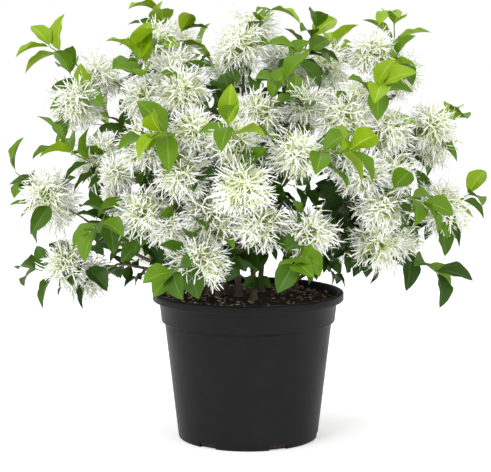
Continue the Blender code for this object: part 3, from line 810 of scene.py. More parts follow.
class StageSettings(bpy.types.PropertyGroup):
    """Floor, light and camera"""

    floor_size: length("Floor size", "Width of the pale floor", 30.0)
    floor: colour("Floor", "Colour of the floor", (0.93, 0.93, 0.93))
    glow: FloatProperty(name="Floor glow", description="How far it turns white", default=0.32)
    key: power("Key", "Power of the main light", 48)
    fill: power("Fill", "Power of the fill and top lights", 15)
    sky: FloatProperty(name="Sky", description="Strength of the light all round", default=0.82)
    lens: FloatProperty(name="Lens", description="Focal length in millimetres", default=129.43)


class Socket:
    """A shader value that can stand in sums, so that 1 - mask adds its own node."""

    def __init__(self, shade, socket):
        self.shade = shade
        self.socket = socket

    def maths(self, operation, first, second):
        settings = {"operation": operation}
        return self.shade.node("ShaderNodeMath", settings, {0: first, 1: second})

    def __add__(self, other):
        return self.maths("ADD", self, other)

    def __radd__(self, other):
        return self.maths("ADD", other, self)

    def __sub__(self, other):
        return self.maths("SUBTRACT", self, other)

    def __rsub__(self, other):
        return self.maths("SUBTRACT", other, self)

    def __mul__(self, other):
        return self.maths("MULTIPLY", self, other)

    def __rmul__(self, other):
        return self.maths("MULTIPLY", other, self)


class Shade:
    """A Principled material and the nodes that feed it."""

    def __init__(self, name, colour, roughness):
        self.material = bpy.data.materials.new(name)
        self.material.use_nodes = True
        self.tree = self.material.node_tree
        self.principled = self.tree.nodes["Principled BSDF"]
        self.feed({"Base Color": (*colour, 1), "Roughness": roughness})
        self.material.diffuse_color = (*colour, 1)

    def put(self, target, value):
        if isinstance(value, Socket):
            self.tree.links.new(value.socket, target)
        else:
            target.default_value = value

    def node(self, kind, settings, inputs, output=0):
        """Adds a node: its settings first, then the values or links of its sockets."""
        made = self.tree.nodes.new(kind)
        for key, value in settings.items():
            if key == "stops":
                for stop, (place, tone) in zip(made.color_ramp.elements, value):
                    stop.position = place
                    stop.color = (tone, tone, tone, 1)
            else:
                setattr(made, key, value)
        for key, value in inputs.items():
            self.put(made.inputs[key], value)
        return Socket(self, made.outputs[output])

    def feed(self, values):
        for name, value in values.items():
            self.put(self.principled.inputs[name], value)

    def place(self, scale=(1, 1, 1)):
        """Object coordinates, stretched."""
        spot = self.node("ShaderNodeTexCoord", {}, {}, "Object")
        return self.node("ShaderNodeMapping", {}, {"Vector": spot, "Scale": scale})

    def noise(self, place, scale, detail=3.0, roughness=0.5):
        inputs = {"Vector": place, "Scale": scale, "Detail": detail, "Roughness": roughness}
        return self.node("ShaderNodeTexNoise", {}, inputs)

    def ramp(self, value, low, high):
        """0 below low, 1 above high."""
        stops = ((low, 0.0), (high, 1.0))
        return self.node("ShaderNodeValToRGB", {"stops": stops}, {"Fac": value})

    def mix(self, share, first, second):
        """A colour between two others, by the sockets that a mix of colours uses."""
        inputs = {0: share, 6: first, 7: second}
        return self.node("ShaderNodeMix", {"data_type": "RGBA"}, inputs, 2)

    def bump(self, height, strength, distance):
        inputs = {"Height": height, "Strength": strength, "Distance": distance}
        return self.node("ShaderNodeBump", {}, inputs)


def plastic_material():
    """Matt black plastic with dusty scuffs, faint upright streaks and a fine stipple."""
    settings = bpy.context.scene.tree_pot
    shade = Shade("pot_plastic", settings.plastic, 0.42)
    place = shade.place()
    worn = shade.ramp(shade.noise(place, scale=26, detail=6, roughness=0.6), low=0.50, high=0.78)
    streak = shade.noise(shade.place((1, 1, 0.08)), scale=120, detail=2)
    stipple = shade.noise(place, scale=1400, detail=2)
    shade.feed(
        {
            "Specular IOR Level": 0.07,
            "Base Color": shade.mix(worn * 0.7, (*settings.plastic, 1), (*settings.scuff, 1)),
            "Roughness": 0.37 + worn * 0.12 + streak * 0.08,
            "Normal": shade.bump(stipple + streak * 0.5, strength=0.16, distance=0.0004),
        }
    )
    return shade.material


def mix_material():
    """Damp crumbs, paler where they have dried."""
    settings = bpy.context.scene.tree_pot
    shade = Shade("potting_mix", settings.mix, 0.95)
    place = shade.place()
    dry = shade.ramp(shade.noise(place, scale=210, detail=6, roughness=0.7), low=0.48, high=0.72)
    crumbs = shade.noise(place, scale=520, detail=5, roughness=0.7)
    shade.feed(
        {
            "Base Color": shade.mix(dry * 0.75, (*settings.mix, 1), (*settings.mix_dry, 1)),
            "Normal": shade.bump(crumbs, strength=0.9, distance=0.003),
        }
    )
    return shade.material


def bark_material():
    """Grey-brown bark with long furrows, darker patches and raised pores."""
    settings = bpy.context.scene.tree_plant
    shade = Shade("bark", settings.bark, 0.8)
    bark = (*settings.bark, 1)
    furrows = shade.noise(shade.place((1, 1, 0.25)), scale=420, detail=5, roughness=0.6)
    patches = shade.ramp(shade.noise(shade.place(), scale=70, detail=4), low=0.35, high=0.68)
    spots = {"Vector": shade.place((1, 1, 2.2)), "Scale": 330}
    raised = 1 - shade.ramp(shade.node("ShaderNodeTexVoronoi", {}, spots), low=0.05, high=0.30)
    tone = shade.ramp(furrows, low=0.36, high=0.60)
    dark = shade.mix(patches * 0.6, (*settings.bark_dark, 1), bark)
    shade.feed(
        {
            "Base Color": shade.mix(tone * 0.85 + raised * 0.15, dark, bark),
            "Roughness": 0.9 - tone * 0.2,
            "Normal": shade.bump(furrows + raised * 0.6, strength=0.7, distance=0.0012),
        }
    )
    return shade.material


def plain(name, colour, roughness, gloss=0.5):
    """One colour all over, for the many small leaves, petals, twigs and chips."""
    shade = Shade(name, colour, roughness)
    shade.feed({"Specular IOR Level": gloss})
    return shade.material


def mesh_from(bm, name):
    """Turns a bmesh into a mesh, and frees it."""
    mesh = bpy.data.meshes.new(name)
    bm.to_mesh(mesh)
    bm.free()
    return mesh


def joined(name, meshes, materials):
    """One object from many small meshes, its place in its mesh, riding with the plant."""
    bm = bmesh.new()
    for mesh in meshes:
        bm.from_mesh(mesh)
        bpy.data.meshes.remove(mesh)
    return show(name, mesh_from(bm, name), materials)


def show(name, mesh, materials):
    for material in materials:
        mesh.materials.append(material)
    piece = bpy.data.objects.new(name, mesh)
    bpy.context.scene.collection.objects.link(piece)
    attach(piece, "root")
    return piece


def copies(name, template, places, materials):
    """One object of many copies of a small mesh, each put in place by its own matrix."""
    spots = np.array([[*vert.co, 1] for vert in template.vertices])
    faces = [list(face.vertices) for face in template.polygons]
    slots = [face.material_index for face in template.polygons]
    turns = np.array([[list(row) for row in place] for place in places])
    verts = np.einsum("kij,nj->kni", turns, spots)[:, :, :3].reshape(-1, 3)
    shift = len(spots)
    every = [[corner + shift * k for corner in face] for k in range(len(places)) for face in faces]
    mesh = bpy.data.meshes.new(name)
    mesh.from_pydata(verts.tolist(), [], every)
    mesh.polygons.foreach_set("material_index", slots * len(places))
    mesh.shade_smooth()
    return show(name, mesh, materials)


def sweep(limb, sides):
    """A closed tapering tube along a limb's route, as a small mesh."""
    bm = bmesh.new()
    route = limb.route
    headings = [(b - a).normalized() for a, b in zip(route, route[1:])]
    turns = [headings[0].to_track_quat("Z", "Y")]
    for k in range(1, len(route)):
        before = headings[k - 1]
        after = headings[min(k, len(headings) - 1)]
        ahead = (before + after).normalized()
        facing = turns[-1] @ UP
        turns.append(facing.rotation_difference(ahead) @ turns[-1])
    places = [
        Matrix.LocRotScale(place, turn, Vector((girth, girth, girth)))
        for place, turn, girth in zip(route, turns, limb.girths)
    ]
    bmesh.ops.create_circle(bm, cap_ends=True, segments=sides, radius=1, matrix=places[0])
    cap = bm.faces[:][-1]
    for before, after in zip(places, places[1:]):
        region = [cap, *cap.edges, *cap.verts]
        grown = bmesh.ops.extrude_face_region(bm, geom=region)["geom"]
        cap = next(piece for piece in grown if isinstance(piece, bmesh.types.BMFace))
        bmesh.ops.transform(bm, matrix=after @ before.inverted(), verts=cap.verts)
    bmesh.ops.recalc_face_normals(bm, faces=bm.faces)
    mesh = mesh_from(bm, "tube")
    mesh.shade_smooth()
    return mesh


def finer(limb, step):
    """The same limb with a point every step or so, on a smooth curve through its own points."""
    spans = max(2, math.ceil(lengths_along(limb.route)[-1] / step / (len(limb.route) - 1)))
    route = spline(limb.route, spans)
    girths = []
    for a, b in zip(limb.girths, limb.girths[1:]):
        girths += [a + (b - a) * k / spans for k in range(spans)]
    return Limb(route, [*girths, limb.girths[-1]])


BARK_STEP = 0.0035
KNUCKLE_STEP = 0.031
KNUCKLE_SWELL = 0.16
KNUCKLE_WIDTH = 0.0022
KNUCKLES = 20
FIRST_KNUCKLE = (0.4, 1.0)
BARK_RELIEF = 0.00028
BARK_GRAIN = 260
BARK_DRAWN = 0.35


def barked(limb, seed, sides):
    """A limb with swollen knuckles where leaves stood, and the bark's relief."""
    rng = random.Random(seed)
    limb = finer(limb, BARK_STEP)
    along = lengths_along(limb.route)
    first = rng.uniform(*FIRST_KNUCKLE) * KNUCKLE_STEP
    knuckles = [first + KNUCKLE_STEP * k * rng.uniform(*WIDTHS) for k in range(KNUCKLES)]
    girths = []
    for far, girth in zip(along, limb.girths):
        near = min(abs(far - knuckle) for knuckle in knuckles) / KNUCKLE_WIDTH
        girths.append(girth * (1 + KNUCKLE_SWELL * math.exp(-near * near)))
    mesh = sweep(Limb(limb.route, girths), sides)
    for vert in mesh.vertices:
        grain = Vector((vert.co.x, vert.co.y, vert.co.z * BARK_DRAWN)) * BARK_GRAIN
        vert.co += vert.normal * noise.noise(grain) * BARK_RELIEF
    return mesh


def rooted(limb, depth):
    """The limb with its foot carried back into what it grows from."""
    back = (limb.route[1] - limb.route[0]).normalized() * depth
    return Limb([limb.route[0] - back, *limb.route], [limb.girths[0], *limb.girths])


def arc(centre, radius, start, end, steps=ARC_STEPS):
    """Points of an arc in the pot's section, from one angle to another in degrees."""
    turns = [math.radians(start + (end - start) * k / steps) for k in range(steps + 1)]
    return [(centre[0] + radius * math.cos(a), centre[1] + radius * math.sin(a)) for a in turns]


def lathe(profile, sides):
    """A turned mesh from a section whose two ends lie on the axis."""
    bm = bmesh.new()
    verts = [bm.verts.new((radius, 0, height)) for radius, height in profile]
    edges = [bm.edges.new(pair) for pair in zip(verts, verts[1:])]
    bmesh.ops.spin(
        bm, geom=verts + edges, axis=UP, cent=(0, 0, 0), angle=math.tau, steps=sides, use_merge=True
    )
    bmesh.ops.remove_doubles(bm, verts=bm.verts, dist=1e-5)
    bmesh.ops.recalc_face_normals(bm, faces=bm.faces)
    return bm


def inner_wall(settings):
    """The pot's inner wall from floor to mouth, as radius and height."""
    step = POT_HEIGHT - settings.lip_height - settings.collar_height
    return [
        (BASE_DIAMETER / 2 - WALL, FLOOR),
        (SHOULDER_DIAMETER / 2 - WALL, step - 2 * SHOULDER_HEIGHT),
        (COLLAR_FOOT_DIAMETER / 2 - WALL, step + SHOULDER_HEIGHT),
        (MOUTH_DIAMETER / 2, POT_HEIGHT - settings.lip_round),
    ]


def pot_section(settings):
    """The pot's section: underside, wall, shoulder, collar, lip, and the wall inside."""
    base, rim, mouth = BASE_DIAMETER / 2, RIM_DIAMETER / 2, MOUTH_DIAMETER / 2
    soft, foot = settings.lip_round, settings.base_round
    lip_foot = POT_HEIGHT - settings.lip_height
    step = lip_foot - settings.collar_height
    shoulder, collar = SHOULDER_DIAMETER / 2, COLLAR_FOOT_DIAMETER / 2
    nook = SHOULDER_HEIGHT / 3
    return [
        (0, 0),
        *arc((base - foot, foot), foot, -90, 0),
        (shoulder, step - SHOULDER_HEIGHT),
        (shoulder + nook, step - SHOULDER_HEIGHT + nook / 2),
        *arc((collar - nook, step + nook), nook, -70, 0),
        (COLLAR_TOP_DIAMETER / 2, lip_foot - nook),
        (COLLAR_TOP_DIAMETER / 2 + nook, lip_foot),
        *arc((rim - soft / 2, lip_foot + soft / 2), soft / 2, -90, 0),
        *arc((rim - soft, POT_HEIGHT - soft), soft, 0, 90),
        *arc((mouth + soft, POT_HEIGHT - soft), soft, 90, 180)[:-1],
        *reversed(inner_wall(settings)),
        (0, FLOOR),
    ]


def cut_slots(piece):
    """Cuts the drain slots out of the foot of the wall."""
    cut = bmesh.new()
    for k in range(SLOTS):
        size = Matrix.Diagonal((SLOT_DEPTH * SLOT_OVER, SLOT_WIDTH, SLOT_HEIGHT * 2, 1))
        turn = Matrix.Rotation(math.radians(FIRST_SLOT - 90 + 360 * k / SLOTS), 4, "Z")
        out = Matrix.Translation((BASE_DIAMETER / 2 + SLOT_DEPTH * SLOT_OUT, 0, 0))
        box = bmesh.ops.create_cube(cut, size=1, matrix=turn @ out @ size)
        edges = dict.fromkeys(edge for vert in box["verts"] for edge in vert.link_edges)
        upright = [e for e in edges if abs(e.verts[0].co.z - e.verts[1].co.z) < SLOT_HEIGHT / 2]
        radial = [e for e in upright if e.verts[0].co.z > 0 and is_radial(e)]
        bmesh.ops.bevel(
            cut, geom=radial, offset=SLOT_HEIGHT * SLOT_ROUND, segments=4, profile=0.5,
            affect="EDGES", material=-1,
        )
    cutter = bpy.data.objects.new("slots", mesh_from(cut, "slots"))
    bpy.context.scene.collection.objects.link(cutter)
    boolean = piece.modifiers.new("slots", "BOOLEAN")
    boolean.operation = "DIFFERENCE"
    boolean.object = cutter
    bpy.context.view_layer.update()
    graph = bpy.context.evaluated_depsgraph_get()
    done = bpy.data.meshes.new_from_object(piece.evaluated_get(graph))
    piece.modifiers.clear()
    piece.data = done
    bpy.data.objects.remove(cutter)


def is_radial(edge):
    """True for an edge that points at the pot's axis."""
    a, b = (vert.co.xy for vert in edge.verts)
    return abs(a.length - b.length) > (a - b).length * RADIAL


class TREE_OT_pot(bpy.types.Operator):
    """Makes the pot with its lip, collar, shoulder and drain slots"""

    bl_idname = "tree.pot"
    bl_label = "Pot"

    def execute(self, context):
        mesh = mesh_from(lathe(pot_section(context.scene.tree_pot), POT_SIDES), "pot_shell")
        pot = show("pot_shell", mesh, [plastic_material()])
        cut_slots(pot)
        pot.data.shade_smooth()
        pot.data.set_sharp_from_angle(angle=math.radians(40))
        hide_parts("pot")
        return {"FINISHED"}


# Crumbs as scale of the noise and height, and how chips lie: most of them out by the wall
MIX_RINGS = 26
MIX_SIDES = 120
CRUMB_ROOM = 0.001
CRUMBS = ((90, 0.0016), (420, 0.0011))
CHIP_SHARES = (0.56, 0.28, 0.16)
CHIP_SHAPE = (1, 0.52, 0.24)
CHIP_RAGGED = 0.12
CHIP_EDGE = 0.006
CHIP_LEAST = 0.04
CHIP_CROWDING = 0.42
CHIP_SIZES = (0.45, 1.25)
CHIP_LEAN = 0.5


class TREE_OT_mix(bpy.types.Operator):
    """Fills the pot with a crumbly mix and scatters bark chips on it"""

    bl_idname = "tree.mix"
    bl_label = "Potting mix"

    def execute(self, context):
        settings = context.scene.tree_pot
        fill = self.fill(settings)
        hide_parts("potting_mix")
        rng = random.Random("bark chips")
        chip = self.chip()
        tones = {"dark": settings.chip_dark, "tan": settings.chip_tan, "pale": settings.chip_pale}
        for (name, tone), share in zip(tones.items(), CHIP_SHARES):
            places = [self.lie(rng, settings) for _ in range(int(settings.chips * share))]
            piece = copies(f"chips_{name}", chip, places, [plain(f"chips_{name}", tone, 0.9)])
        return {"FINISHED"}

    def fill(self, settings):
        """The mix down to the pot's floor, its top broken into crumbs."""
        (floor_radius, _), *walls, (mouth, mouth_height) = inner_wall(settings)
        collar, collar_height = walls[-1]
        share = (MIX_EDGE - collar_height) / (mouth_height - collar_height)
        edge = collar + (mouth - collar) * share
        side = [(floor_radius, FLOOR + CLEAR), *walls, (edge, MIX_EDGE - CRUMB_ROOM)]
        side = [(radius - 2 * CLEAR, height) for radius, height in side]
        flat = MIX_FLAT_DIAMETER / 2
        top = MIX_TOP - CRUMB_ROOM
        rings = [(flat * k / MIX_RINGS, top) for k in range(MIX_RINGS, -1, -1)]
        bm = lathe([(0, FLOOR + CLEAR), *side, *rings], MIX_SIDES)
        for vert in bm.verts:
            if vert.co.z > MIX_EDGE - 2 * CRUMB_ROOM:
                at = vert.co.copy()
                vert.co.z += sum(noise.noise(at * scale) * size for scale, size in CRUMBS)
        mesh = mesh_from(bm, "mix_fill")
        mesh.shade_smooth()
        return show("mix_fill", mesh, [mix_material()])

    def chip(self):
        """A flat splinter of bark, one unit long."""
        bm = bmesh.new()
        bmesh.ops.create_icosphere(bm, subdivisions=1, radius=0.5)
        bmesh.ops.scale(bm, vec=CHIP_SHAPE, verts=bm.verts)
        for vert in bm.verts:
            ragged = (noise.noise(vert.co * 9), noise.noise(vert.co * 7 + UP), 0)
            vert.co += Vector(ragged) * CHIP_RAGGED
        return mesh_from(bm, "chip")

    def lie(self, rng, settings):
        """Where and how one chip lies: most of them lie out towards the wall."""
        far = (MOUTH_DIAMETER / 2 - CHIP_EDGE) * rng.uniform(CHIP_LEAST, 1) ** CHIP_CROWDING
        turn = rng.uniform(0, math.tau)
        height = MIX_TOP if far < MIX_FLAT_DIAMETER / 2 else (MIX_TOP + MIX_EDGE) / 2
        size = settings.chip_length * rng.uniform(*CHIP_SIZES)
        spin = Quaternion(UP, rng.uniform(0, math.tau))
        lean = rng.uniform(-CHIP_LEAN, CHIP_LEAN)
        height += rng.uniform(-CRUMB_ROOM, CRUMB_ROOM)
        way = Vector((math.cos(turn), math.sin(turn), 0))
        return Matrix.LocRotScale(
            way * far + UP * height, Quaternion(way, lean) @ spin, Vector((size, size, size))
        )


# How far a limb's foot is sunk into what it grows from, and the sides of its tube
LIMB_ROOTS = {"stem": (0.004, 16), "bough": (0.003, 12)}


class TREE_OT_limbs(bpy.types.Operator):
    """Makes stems and boughs with knuckles and bark"""

    bl_idname = "tree.limbs"
    bl_label = "Stems and boughs"

    def execute(self, context):
        stems, boughs, _, _ = plant()
        bark = bark_material()
        for kind, limbs in (("stem", stems), ("bough", boughs)):
            depth, sides = LIMB_ROOTS[kind]
            tubes = [barked(rooted(limb, depth), name, sides) for name, limb in limbs.items()]
            piece = joined(f"{kind}s_bark", tubes, [bark])
            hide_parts(*[f"{kind}_{name}" for name in limbs])
        return {"FINISHED"}


TWIG_ROOT = 0.002
TWIG_STEP = 0.008
FINE_TWIG_STEP = 0.012


class TREE_OT_twigs(bpy.types.Operator):
    """Makes the twigs and shoots of every mass"""

    bl_idname = "tree.twigs"
    bl_label = "Twigs"

    def execute(self, context):
        _, _, masses, fine = plant()
        settings = context.scene.tree_plant
        shoot = plain("shoot_green", settings.shoot, 0.6)
        tubes = []
        for sprays in masses.values():
            twigs = sprays.twigs[:1]
            for branch in sprays.twigs[1:]:
                leader = not any(ends_in(branch, mop) for mop in sprays.mops)
                twigs.append(trimmed(branch, sprays.leaves) if leader else branch)
            tubes += [
                sweep(finer(rooted(twig, TWIG_ROOT), TWIG_STEP), 6) for twig in twigs if twig
            ]
        piece = joined("twigs", tubes, [shoot])
        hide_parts(*[f"foliage_{name}" for name in masses])
        fine_twigs = [twig for grown in fine.values() for twig in grown.twigs]
        tubes = [sweep(finer(twig, FINE_TWIG_STEP), 4) for twig in fine_twigs]
        joined("fine_twigs", tubes, [shoot])
        return {"FINISHED"}


LEAF_ROWS = 12
LEAF_COLUMNS = (-1, -0.52, -0.045, 0.045, 0.52, 1)
PETIOLE = 0.09
PETIOLE_HALF = 0.035
LEAF_LOW = 0.92
LEAF_FULL = 0.82
LEAF_WAVE = 0.05
LEAF_FOLD = 0.13
LEAF_HANG = 0.10
LEAF_SWELL = 1.12
LEAF_GLOSS = 0.22

# How far out leaves are, as a share of the crown's reach, from which each tint is dealt: painted
# light on high outer leaves, painted shade on inner and low ones
CROWN_REACH = 0.34
TINT_HEIGHT = 0.44
TINT_RISE = 0.8
TINT_CHANCE = 0.2
# Leaves below this height go darker still: painted shade under the crown
LOW_LEAVES = 0.27
TINTS = (("new", 1.14), ("grown", 0.84), ("deep", 0.55))


def aimed(place, along, face, width, span, depth):
    """The matrix that lays a template along a direction."""
    face = square_to(face, along)
    turn = Matrix((along.cross(face), along, face)).transposed().to_4x4()
    return Matrix.Translation(place) @ turn @ Matrix.Diagonal((width, span, depth, 1))


def leaf_half_width(share):
    """Half the blade's width at a share of its length, for a blade one unit wide."""
    t = max(0, (share - PETIOLE) / (1 - PETIOLE))
    blade = 0.5 * math.sin(math.pi * t ** LEAF_LOW) ** LEAF_FULL if t else 0
    return PETIOLE_HALF * (1 - t) + blade


def leaf_template():
    """A leaf one unit long and one wide: folded along its midrib, arched and waved."""
    bm = bmesh.new()
    spans = len(LEAF_COLUMNS) - 1
    bmesh.ops.create_grid(bm, x_segments=spans, y_segments=LEAF_ROWS, size=0.5)
    for vert in bm.verts:
        column = LEAF_COLUMNS[round((vert.co.x + 0.5) * spans)]
        share = vert.co.y + 0.5
        half = leaf_half_width(share)
        wave = LEAF_WAVE * math.sin(share * 17 + column * 1.3) * abs(column) * half
        fold = LEAF_FOLD * abs(column) ** 1.4 * half * 2
        arch = 4 * share * (1 - share) * LEAF_ARCH * 1.4 - LEAF_HANG * share ** 3
        vert.co = Vector((column * half, share, fold + wave + arch))
    bmesh.ops.remove_doubles(bm, verts=bm.verts, dist=1e-4)
    for face in bm.faces:
        face.material_index = int(abs(face.calc_center_median().x) < 0.02)
    return mesh_from(bm, "leaf")


def leaf_place(leaf):
    """The matrix that lays the template where a leaf grows."""
    return aimed(
        leaf.base, leaf.along, leaf.face, leaf.width * LEAF_SWELL, leaf.length, leaf.length
    )


class TREE_OT_leaves(bpy.types.Operator):
    """Makes the leaves, each tinted by where it grows and by chance: painted light high and
    outside, painted shade inside and low down
    """

    bl_idname = "tree.leaves"
    bl_label = "Leaves"

    def execute(self, context):
        _, _, masses, fine = plant()
        settings = context.scene.tree_plant
        rng = random.Random("leaf colours")
        tints = {"new": [], "grown": [], "deep": [], "dark": []}
        # Finer growth is tipped towards the darker tints as painted shade, the masses' own leaves
        # towards the lighter ones as painted light
        for grown, lift in ((masses, 0.08), (fine, -0.10)):
            for sprays in grown.values():
                for leaf in sprays.leaves:
                    tints[self.tint(rng, leaf, lift)].append(leaf)
        colours = {
            "new": settings.new_and_lit_leaf,
            "grown": settings.leaf,
            "deep": settings.shaded_leaf,
            "dark": settings.shadowed_leaf,
        }
        shape = leaf_template()
        for tint, leaves in tints.items():
            tone = colours[tint]
            rib = [min(1, part * 1.5 + 0.03) for part in tone]
            materials = [
                plain(f"leaf_{tint}", tone, 0.5, LEAF_GLOSS),
                plain(f"rib_{tint}", rib, 0.6, LEAF_GLOSS),
            ]
            places = [leaf_place(leaf) for leaf in leaves]
            copies(f"leaves_{tint}", shape, places, materials)
        return {"FINISHED"}

    def tint(self, rng, leaf, lift):
        """Fresh green outside and high up, partly real new growth and partly painted light; dark
        inside and low down, painted shade.
        """
        tip = leaf.base + leaf.along * leaf.length
        out = (tip - HEART).length / CROWN_REACH + (tip.z - TINT_HEIGHT) * TINT_RISE + lift
        out += rng.uniform(-TINT_CHANCE, TINT_CHANCE)
        # Painted shade: the lowest leaves are pushed darker
        if leaf.base.z < LOW_LEAVES:
            out -= 0.25
        for tint, least in TINTS:
            if out > least:
                return tint
        return "dark"


PETAL_ROWS = 4
PETAL_WIDTHS = (0.42, 0.80, 1.0, 0.98, 0.50)


def petal_template(bend):
    """A strap one unit long and wide that curves back, with a green root."""
    bm = bmesh.new()
    bmesh.ops.create_grid(bm, x_segments=1, y_segments=PETAL_ROWS, size=0.5)
    for vert in bm.verts:
        share = vert.co.y + 0.5
        width = PETAL_WIDTHS[round(share * PETAL_ROWS)]
        vert.co = Vector((vert.co.x * width, share, -bend * share * share))
    for face in bm.faces:
        face.material_index = int(face.calc_center_median().y < 0.25)
    return mesh_from(bm, "petal")


def stalk_template():
    """A three-sided stalk one unit long and wide, along +Y."""
    bm = bmesh.new()
    turn = Matrix.Rotation(-math.pi / 2, 4, "X") @ Matrix.Translation((0, 0, 0.5))
    bmesh.ops.create_cone(
        bm, cap_ends=True, segments=3, radius1=0.5, radius2=0.4, depth=1, matrix=turn
    )
    return mesh_from(bm, "stalk")


# A head of blossom: tufts of flowers on a slightly flattened ball, on stalks from its heart
STALK_DIAMETER = 0.0007
STALK_ROOT = 0.12
STALK_SINK = 0.2
HEAD_FLAT = 0.86
HEAD_SINK = 0.6
# Flowers nearer the heart than this share of the reach take the cream petals, painted shade
INNER_HEAD = 0.45
GOLDEN_TURN = math.pi * (3 - math.sqrt(5))
TUFT = 7
TUFT_SPREAD = 0.30
TUFT_REACH = (0.80, 1.08)

# Its flowers: how deep they sit, how they lean and hang, and how their petals open and bend
FLOWER_DEPTHS = (0.30, 0.82)
FLOWER_LEAN = 1.5
FLOWER_HANG = 2.5
FLOWER_SPREAD = 40
PETAL_STRAY = 20
PETAL_TWIST = 0.3
PETAL_LENGTHS = (0.78, 1.15)
PETAL_BREADTHS = (0.85, 1.15)
BENDS = (0.16, 0.34, 0.05)


def head_of_flowers(mop, settings, number):
    """The petals and stalks of one head: tufts of flowers, each flower with four petals."""
    rng = random.Random(f"head {number}")
    petals, inner, stalks = [], [], []
    tufts = math.ceil(settings.flowers / TUFT)
    spin = rng.uniform(0, math.tau)
    for k in range(settings.flowers):
        if k % TUFT == 0:
            height = 1 - 2 * (k // TUFT + rng.uniform(0.2, 0.8)) / tufts
            level = math.sqrt(1 - height * height)
            turn = spin + k // TUFT * GOLDEN_TURN
            heart = Vector((level * math.cos(turn), level * math.sin(turn), height * HEAD_FLAT))
            swell = rng.uniform(*TUFT_REACH)
        aside = stray(rng, TUFT_SPREAD)
        out = (heart + aside).normalized()
        depth = rng.uniform(*FLOWER_DEPTHS)
        far = mop.reach * depth * swell
        sink = rng.uniform(0, STALK_SINK)
        root = mop.centre + out * mop.reach * STALK_ROOT - UP * mop.reach * sink
        place = mop.centre + out * far - UP * mop.reach * MOP_DROOP * HEAD_SINK
        reach = place - root
        along = reach.normalized()
        thick = STALK_DIAMETER
        stalks.append(aimed(root, along, reach.orthogonal(), thick, reach.length, thick))
        axis = (heart + aside * FLOWER_LEAN - UP * MOP_DROOP * FLOWER_HANG).normalized()
        side = axis.orthogonal().normalized()
        first = rng.uniform(0, math.tau)
        for quarter in range(4):
            lean = math.radians(FLOWER_SPREAD + rng.uniform(-PETAL_STRAY, PETAL_STRAY))
            twist = first + quarter * math.pi / 2 + rng.uniform(-PETAL_TWIST, PETAL_TWIST)
            away = Quaternion(axis, twist) @ side
            along = (axis * math.cos(lean) + away * math.sin(lean)).normalized()
            span = settings.petal_length * rng.uniform(*PETAL_LENGTHS)
            wide = settings.petal_width * rng.uniform(*PETAL_BREADTHS)
            # Painted shade: petals of flowers deep in the head go into the cream bunch
            bunch = inner if depth < INNER_HEAD else petals
            bunch.append(aimed(place, along, axis, wide, span, span))
    return petals, inner, stalks


class TREE_OT_blossom(bpy.types.Operator):
    """Makes the heads of fringed blossom"""

    bl_idname = "tree.blossom"
    bl_label = "Blossom"

    def execute(self, context):
        _, _, masses, _ = plant()
        settings = context.scene.tree_plant
        petal = plain("petal_white", settings.petal, 0.55)
        throat = plain("petal_throat", settings.throat, 0.6)
        stalk = plain("stalk_green", settings.stalk, 0.6)
        mops = [mop for sprays in masses.values() for mop in sprays.mops]
        # Cream for the inner petals: painted shade
        shaded_cream = plain("petal_shaded_cream", settings.shaded_cream, 0.55)
        petals, inner, stalks = [], [], []
        for number, mop in enumerate(mops):
            own_petals, own_inner, own_stalks = head_of_flowers(mop, settings, number)
            petals += own_petals
            inner += own_inner
            stalks += own_stalks
        for k, bend in enumerate(BENDS):
            places = petals[k :: len(BENDS)]
            piece = copies(f"petals_{k + 1}", petal_template(bend), places, [petal, throat])
        template = petal_template(BENDS[0])
        # The inner petals, in their painted-shade cream
        copies("petals_inner", template, inner, [shaded_cream, throat])
        copies("flower_stalks", stalk_template(), stalks, [stalk])
        return {"FINISHED"}


CAMERA_PLACE = Vector((-0.0039, -2.558, 0.6305))
CAMERA_AIM = Vector((-0.0039, 0, 0.2972))
LIGHTS = {
    "key": ((-1.5, -2.0, 2.2), 1.6),
    "fill": ((1.9, -1.6, 1.3), 1.6),
    "top": ((0.2, 0.9, 2.4), 1.4),
}


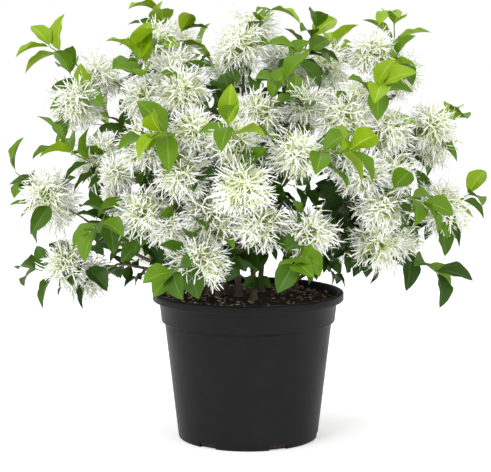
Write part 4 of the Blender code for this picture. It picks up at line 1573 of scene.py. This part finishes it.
class TREE_OT_stage(bpy.types.Operator):
    """Sets up the pale floor, the soft light and the camera"""

    bl_idname = "tree.stage"
    bl_label = "Stage"

    def execute(self, context):
        settings = context.scene.tree_stage
        bm = bmesh.new()
        bmesh.ops.create_grid(bm, x_segments=1, y_segments=1, size=settings.floor_size / 2)
        floor = bpy.data.objects.new("floor", mesh_from(bm, "floor"))
        shade = Shade("floor_white", settings.floor, 0.9)
        shade.feed({"Emission Color": (1, 1, 1, 1), "Emission Strength": settings.glow})
        floor.data.materials.append(shade.material)
        context.scene.collection.objects.link(floor)
        powers = {"key": settings.key, "fill": settings.fill, "top": settings.fill}
        for name, (place, size) in LIGHTS.items():
            self.light(name, place, size, powers[name])
        self.world(context, settings)
        camera = bpy.data.cameras.new("camera")
        camera.lens = settings.lens
        camera.clip_end = 60
        eye = bpy.data.objects.new("camera", camera)
        eye.location = CAMERA_PLACE
        eye.rotation_euler = (CAMERA_AIM - CAMERA_PLACE).to_track_quat("-Z", "Y").to_euler()
        context.scene.collection.objects.link(eye)
        context.scene.camera = eye
        context.scene.view_settings.view_transform = "Standard"
        return {"FINISHED"}

    def light(self, name, place, size, power):
        lamp = bpy.data.lights.new(name, "AREA")
        lamp.energy = power
        lamp.size = size
        made = bpy.data.objects.new(name, lamp)
        made.location = place
        made.rotation_euler = (HEART - Vector(place)).to_track_quat("-Z", "Y").to_euler()
        bpy.context.scene.collection.objects.link(made)

    def world(self, context, settings):
        """White behind the plant, and a softer light all round it."""
        world = bpy.data.worlds.new("studio")
        world.use_nodes = True
        nodes, links = world.node_tree.nodes, world.node_tree.links
        sky = nodes["Background"]
        sky.inputs["Color"].default_value = (1, 1, 1, 1)
        sky.inputs["Strength"].default_value = settings.sky
        backdrop = nodes.new("ShaderNodeBackground")
        backdrop.inputs["Color"].default_value = (1, 1, 1, 1)
        blend = nodes.new("ShaderNodeMixShader")
        links.new(nodes.new("ShaderNodeLightPath").outputs["Is Camera Ray"], blend.inputs["Fac"])
        links.new(sky.outputs[0], blend.inputs[1])
        links.new(backdrop.outputs[0], blend.inputs[2])
        links.new(blend.outputs[0], nodes["World Output"].inputs["Surface"])
        context.scene.world = world


OPERATORS = (
    TREE_OT_pot,
    TREE_OT_mix,
    TREE_OT_limbs,
    TREE_OT_twigs,
    TREE_OT_leaves,
    TREE_OT_blossom,
    TREE_OT_stage,
)


class TREE_PT_panel(bpy.types.Panel):
    """Lists the steps and their settings"""

    bl_label = "Fringe Tree"
    bl_idname = "TREE_PT_panel"
    bl_space_type = "VIEW_3D"
    bl_region_type = "UI"
    bl_category = "Fringe Tree"

    def draw(self, context):
        for operator in OPERATORS:
            self.layout.operator(operator.bl_idname)
        for group in (context.scene.tree_pot, context.scene.tree_plant, context.scene.tree_stage):
            box = self.layout.box()
            for name in group.__annotations__:
                box.prop(group, name)


SETTINGS = {"tree_pot": PotSettings, "tree_plant": PlantSettings, "tree_stage": StageSettings}
CLASSES = (*SETTINGS.values(), *OPERATORS, TREE_PT_panel)


def register():
    for cls in CLASSES:
        bpy.utils.register_class(cls)
    for name, group in SETTINGS.items():
        setattr(bpy.types.Scene, name, PointerProperty(type=group))


def unregister():
    for name in SETTINGS:
        delattr(bpy.types.Scene, name)
    for cls in reversed(CLASSES):
        bpy.utils.unregister_class(cls)


def main():
    register()
    bpy.ops.tree.stage()
    bpy.ops.tree.pot()
    bpy.ops.tree.mix()
    bpy.ops.tree.limbs()
    bpy.ops.tree.twigs()
    bpy.ops.tree.leaves()
    bpy.ops.tree.blossom()
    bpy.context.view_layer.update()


if __name__ == "__main__":
    main()
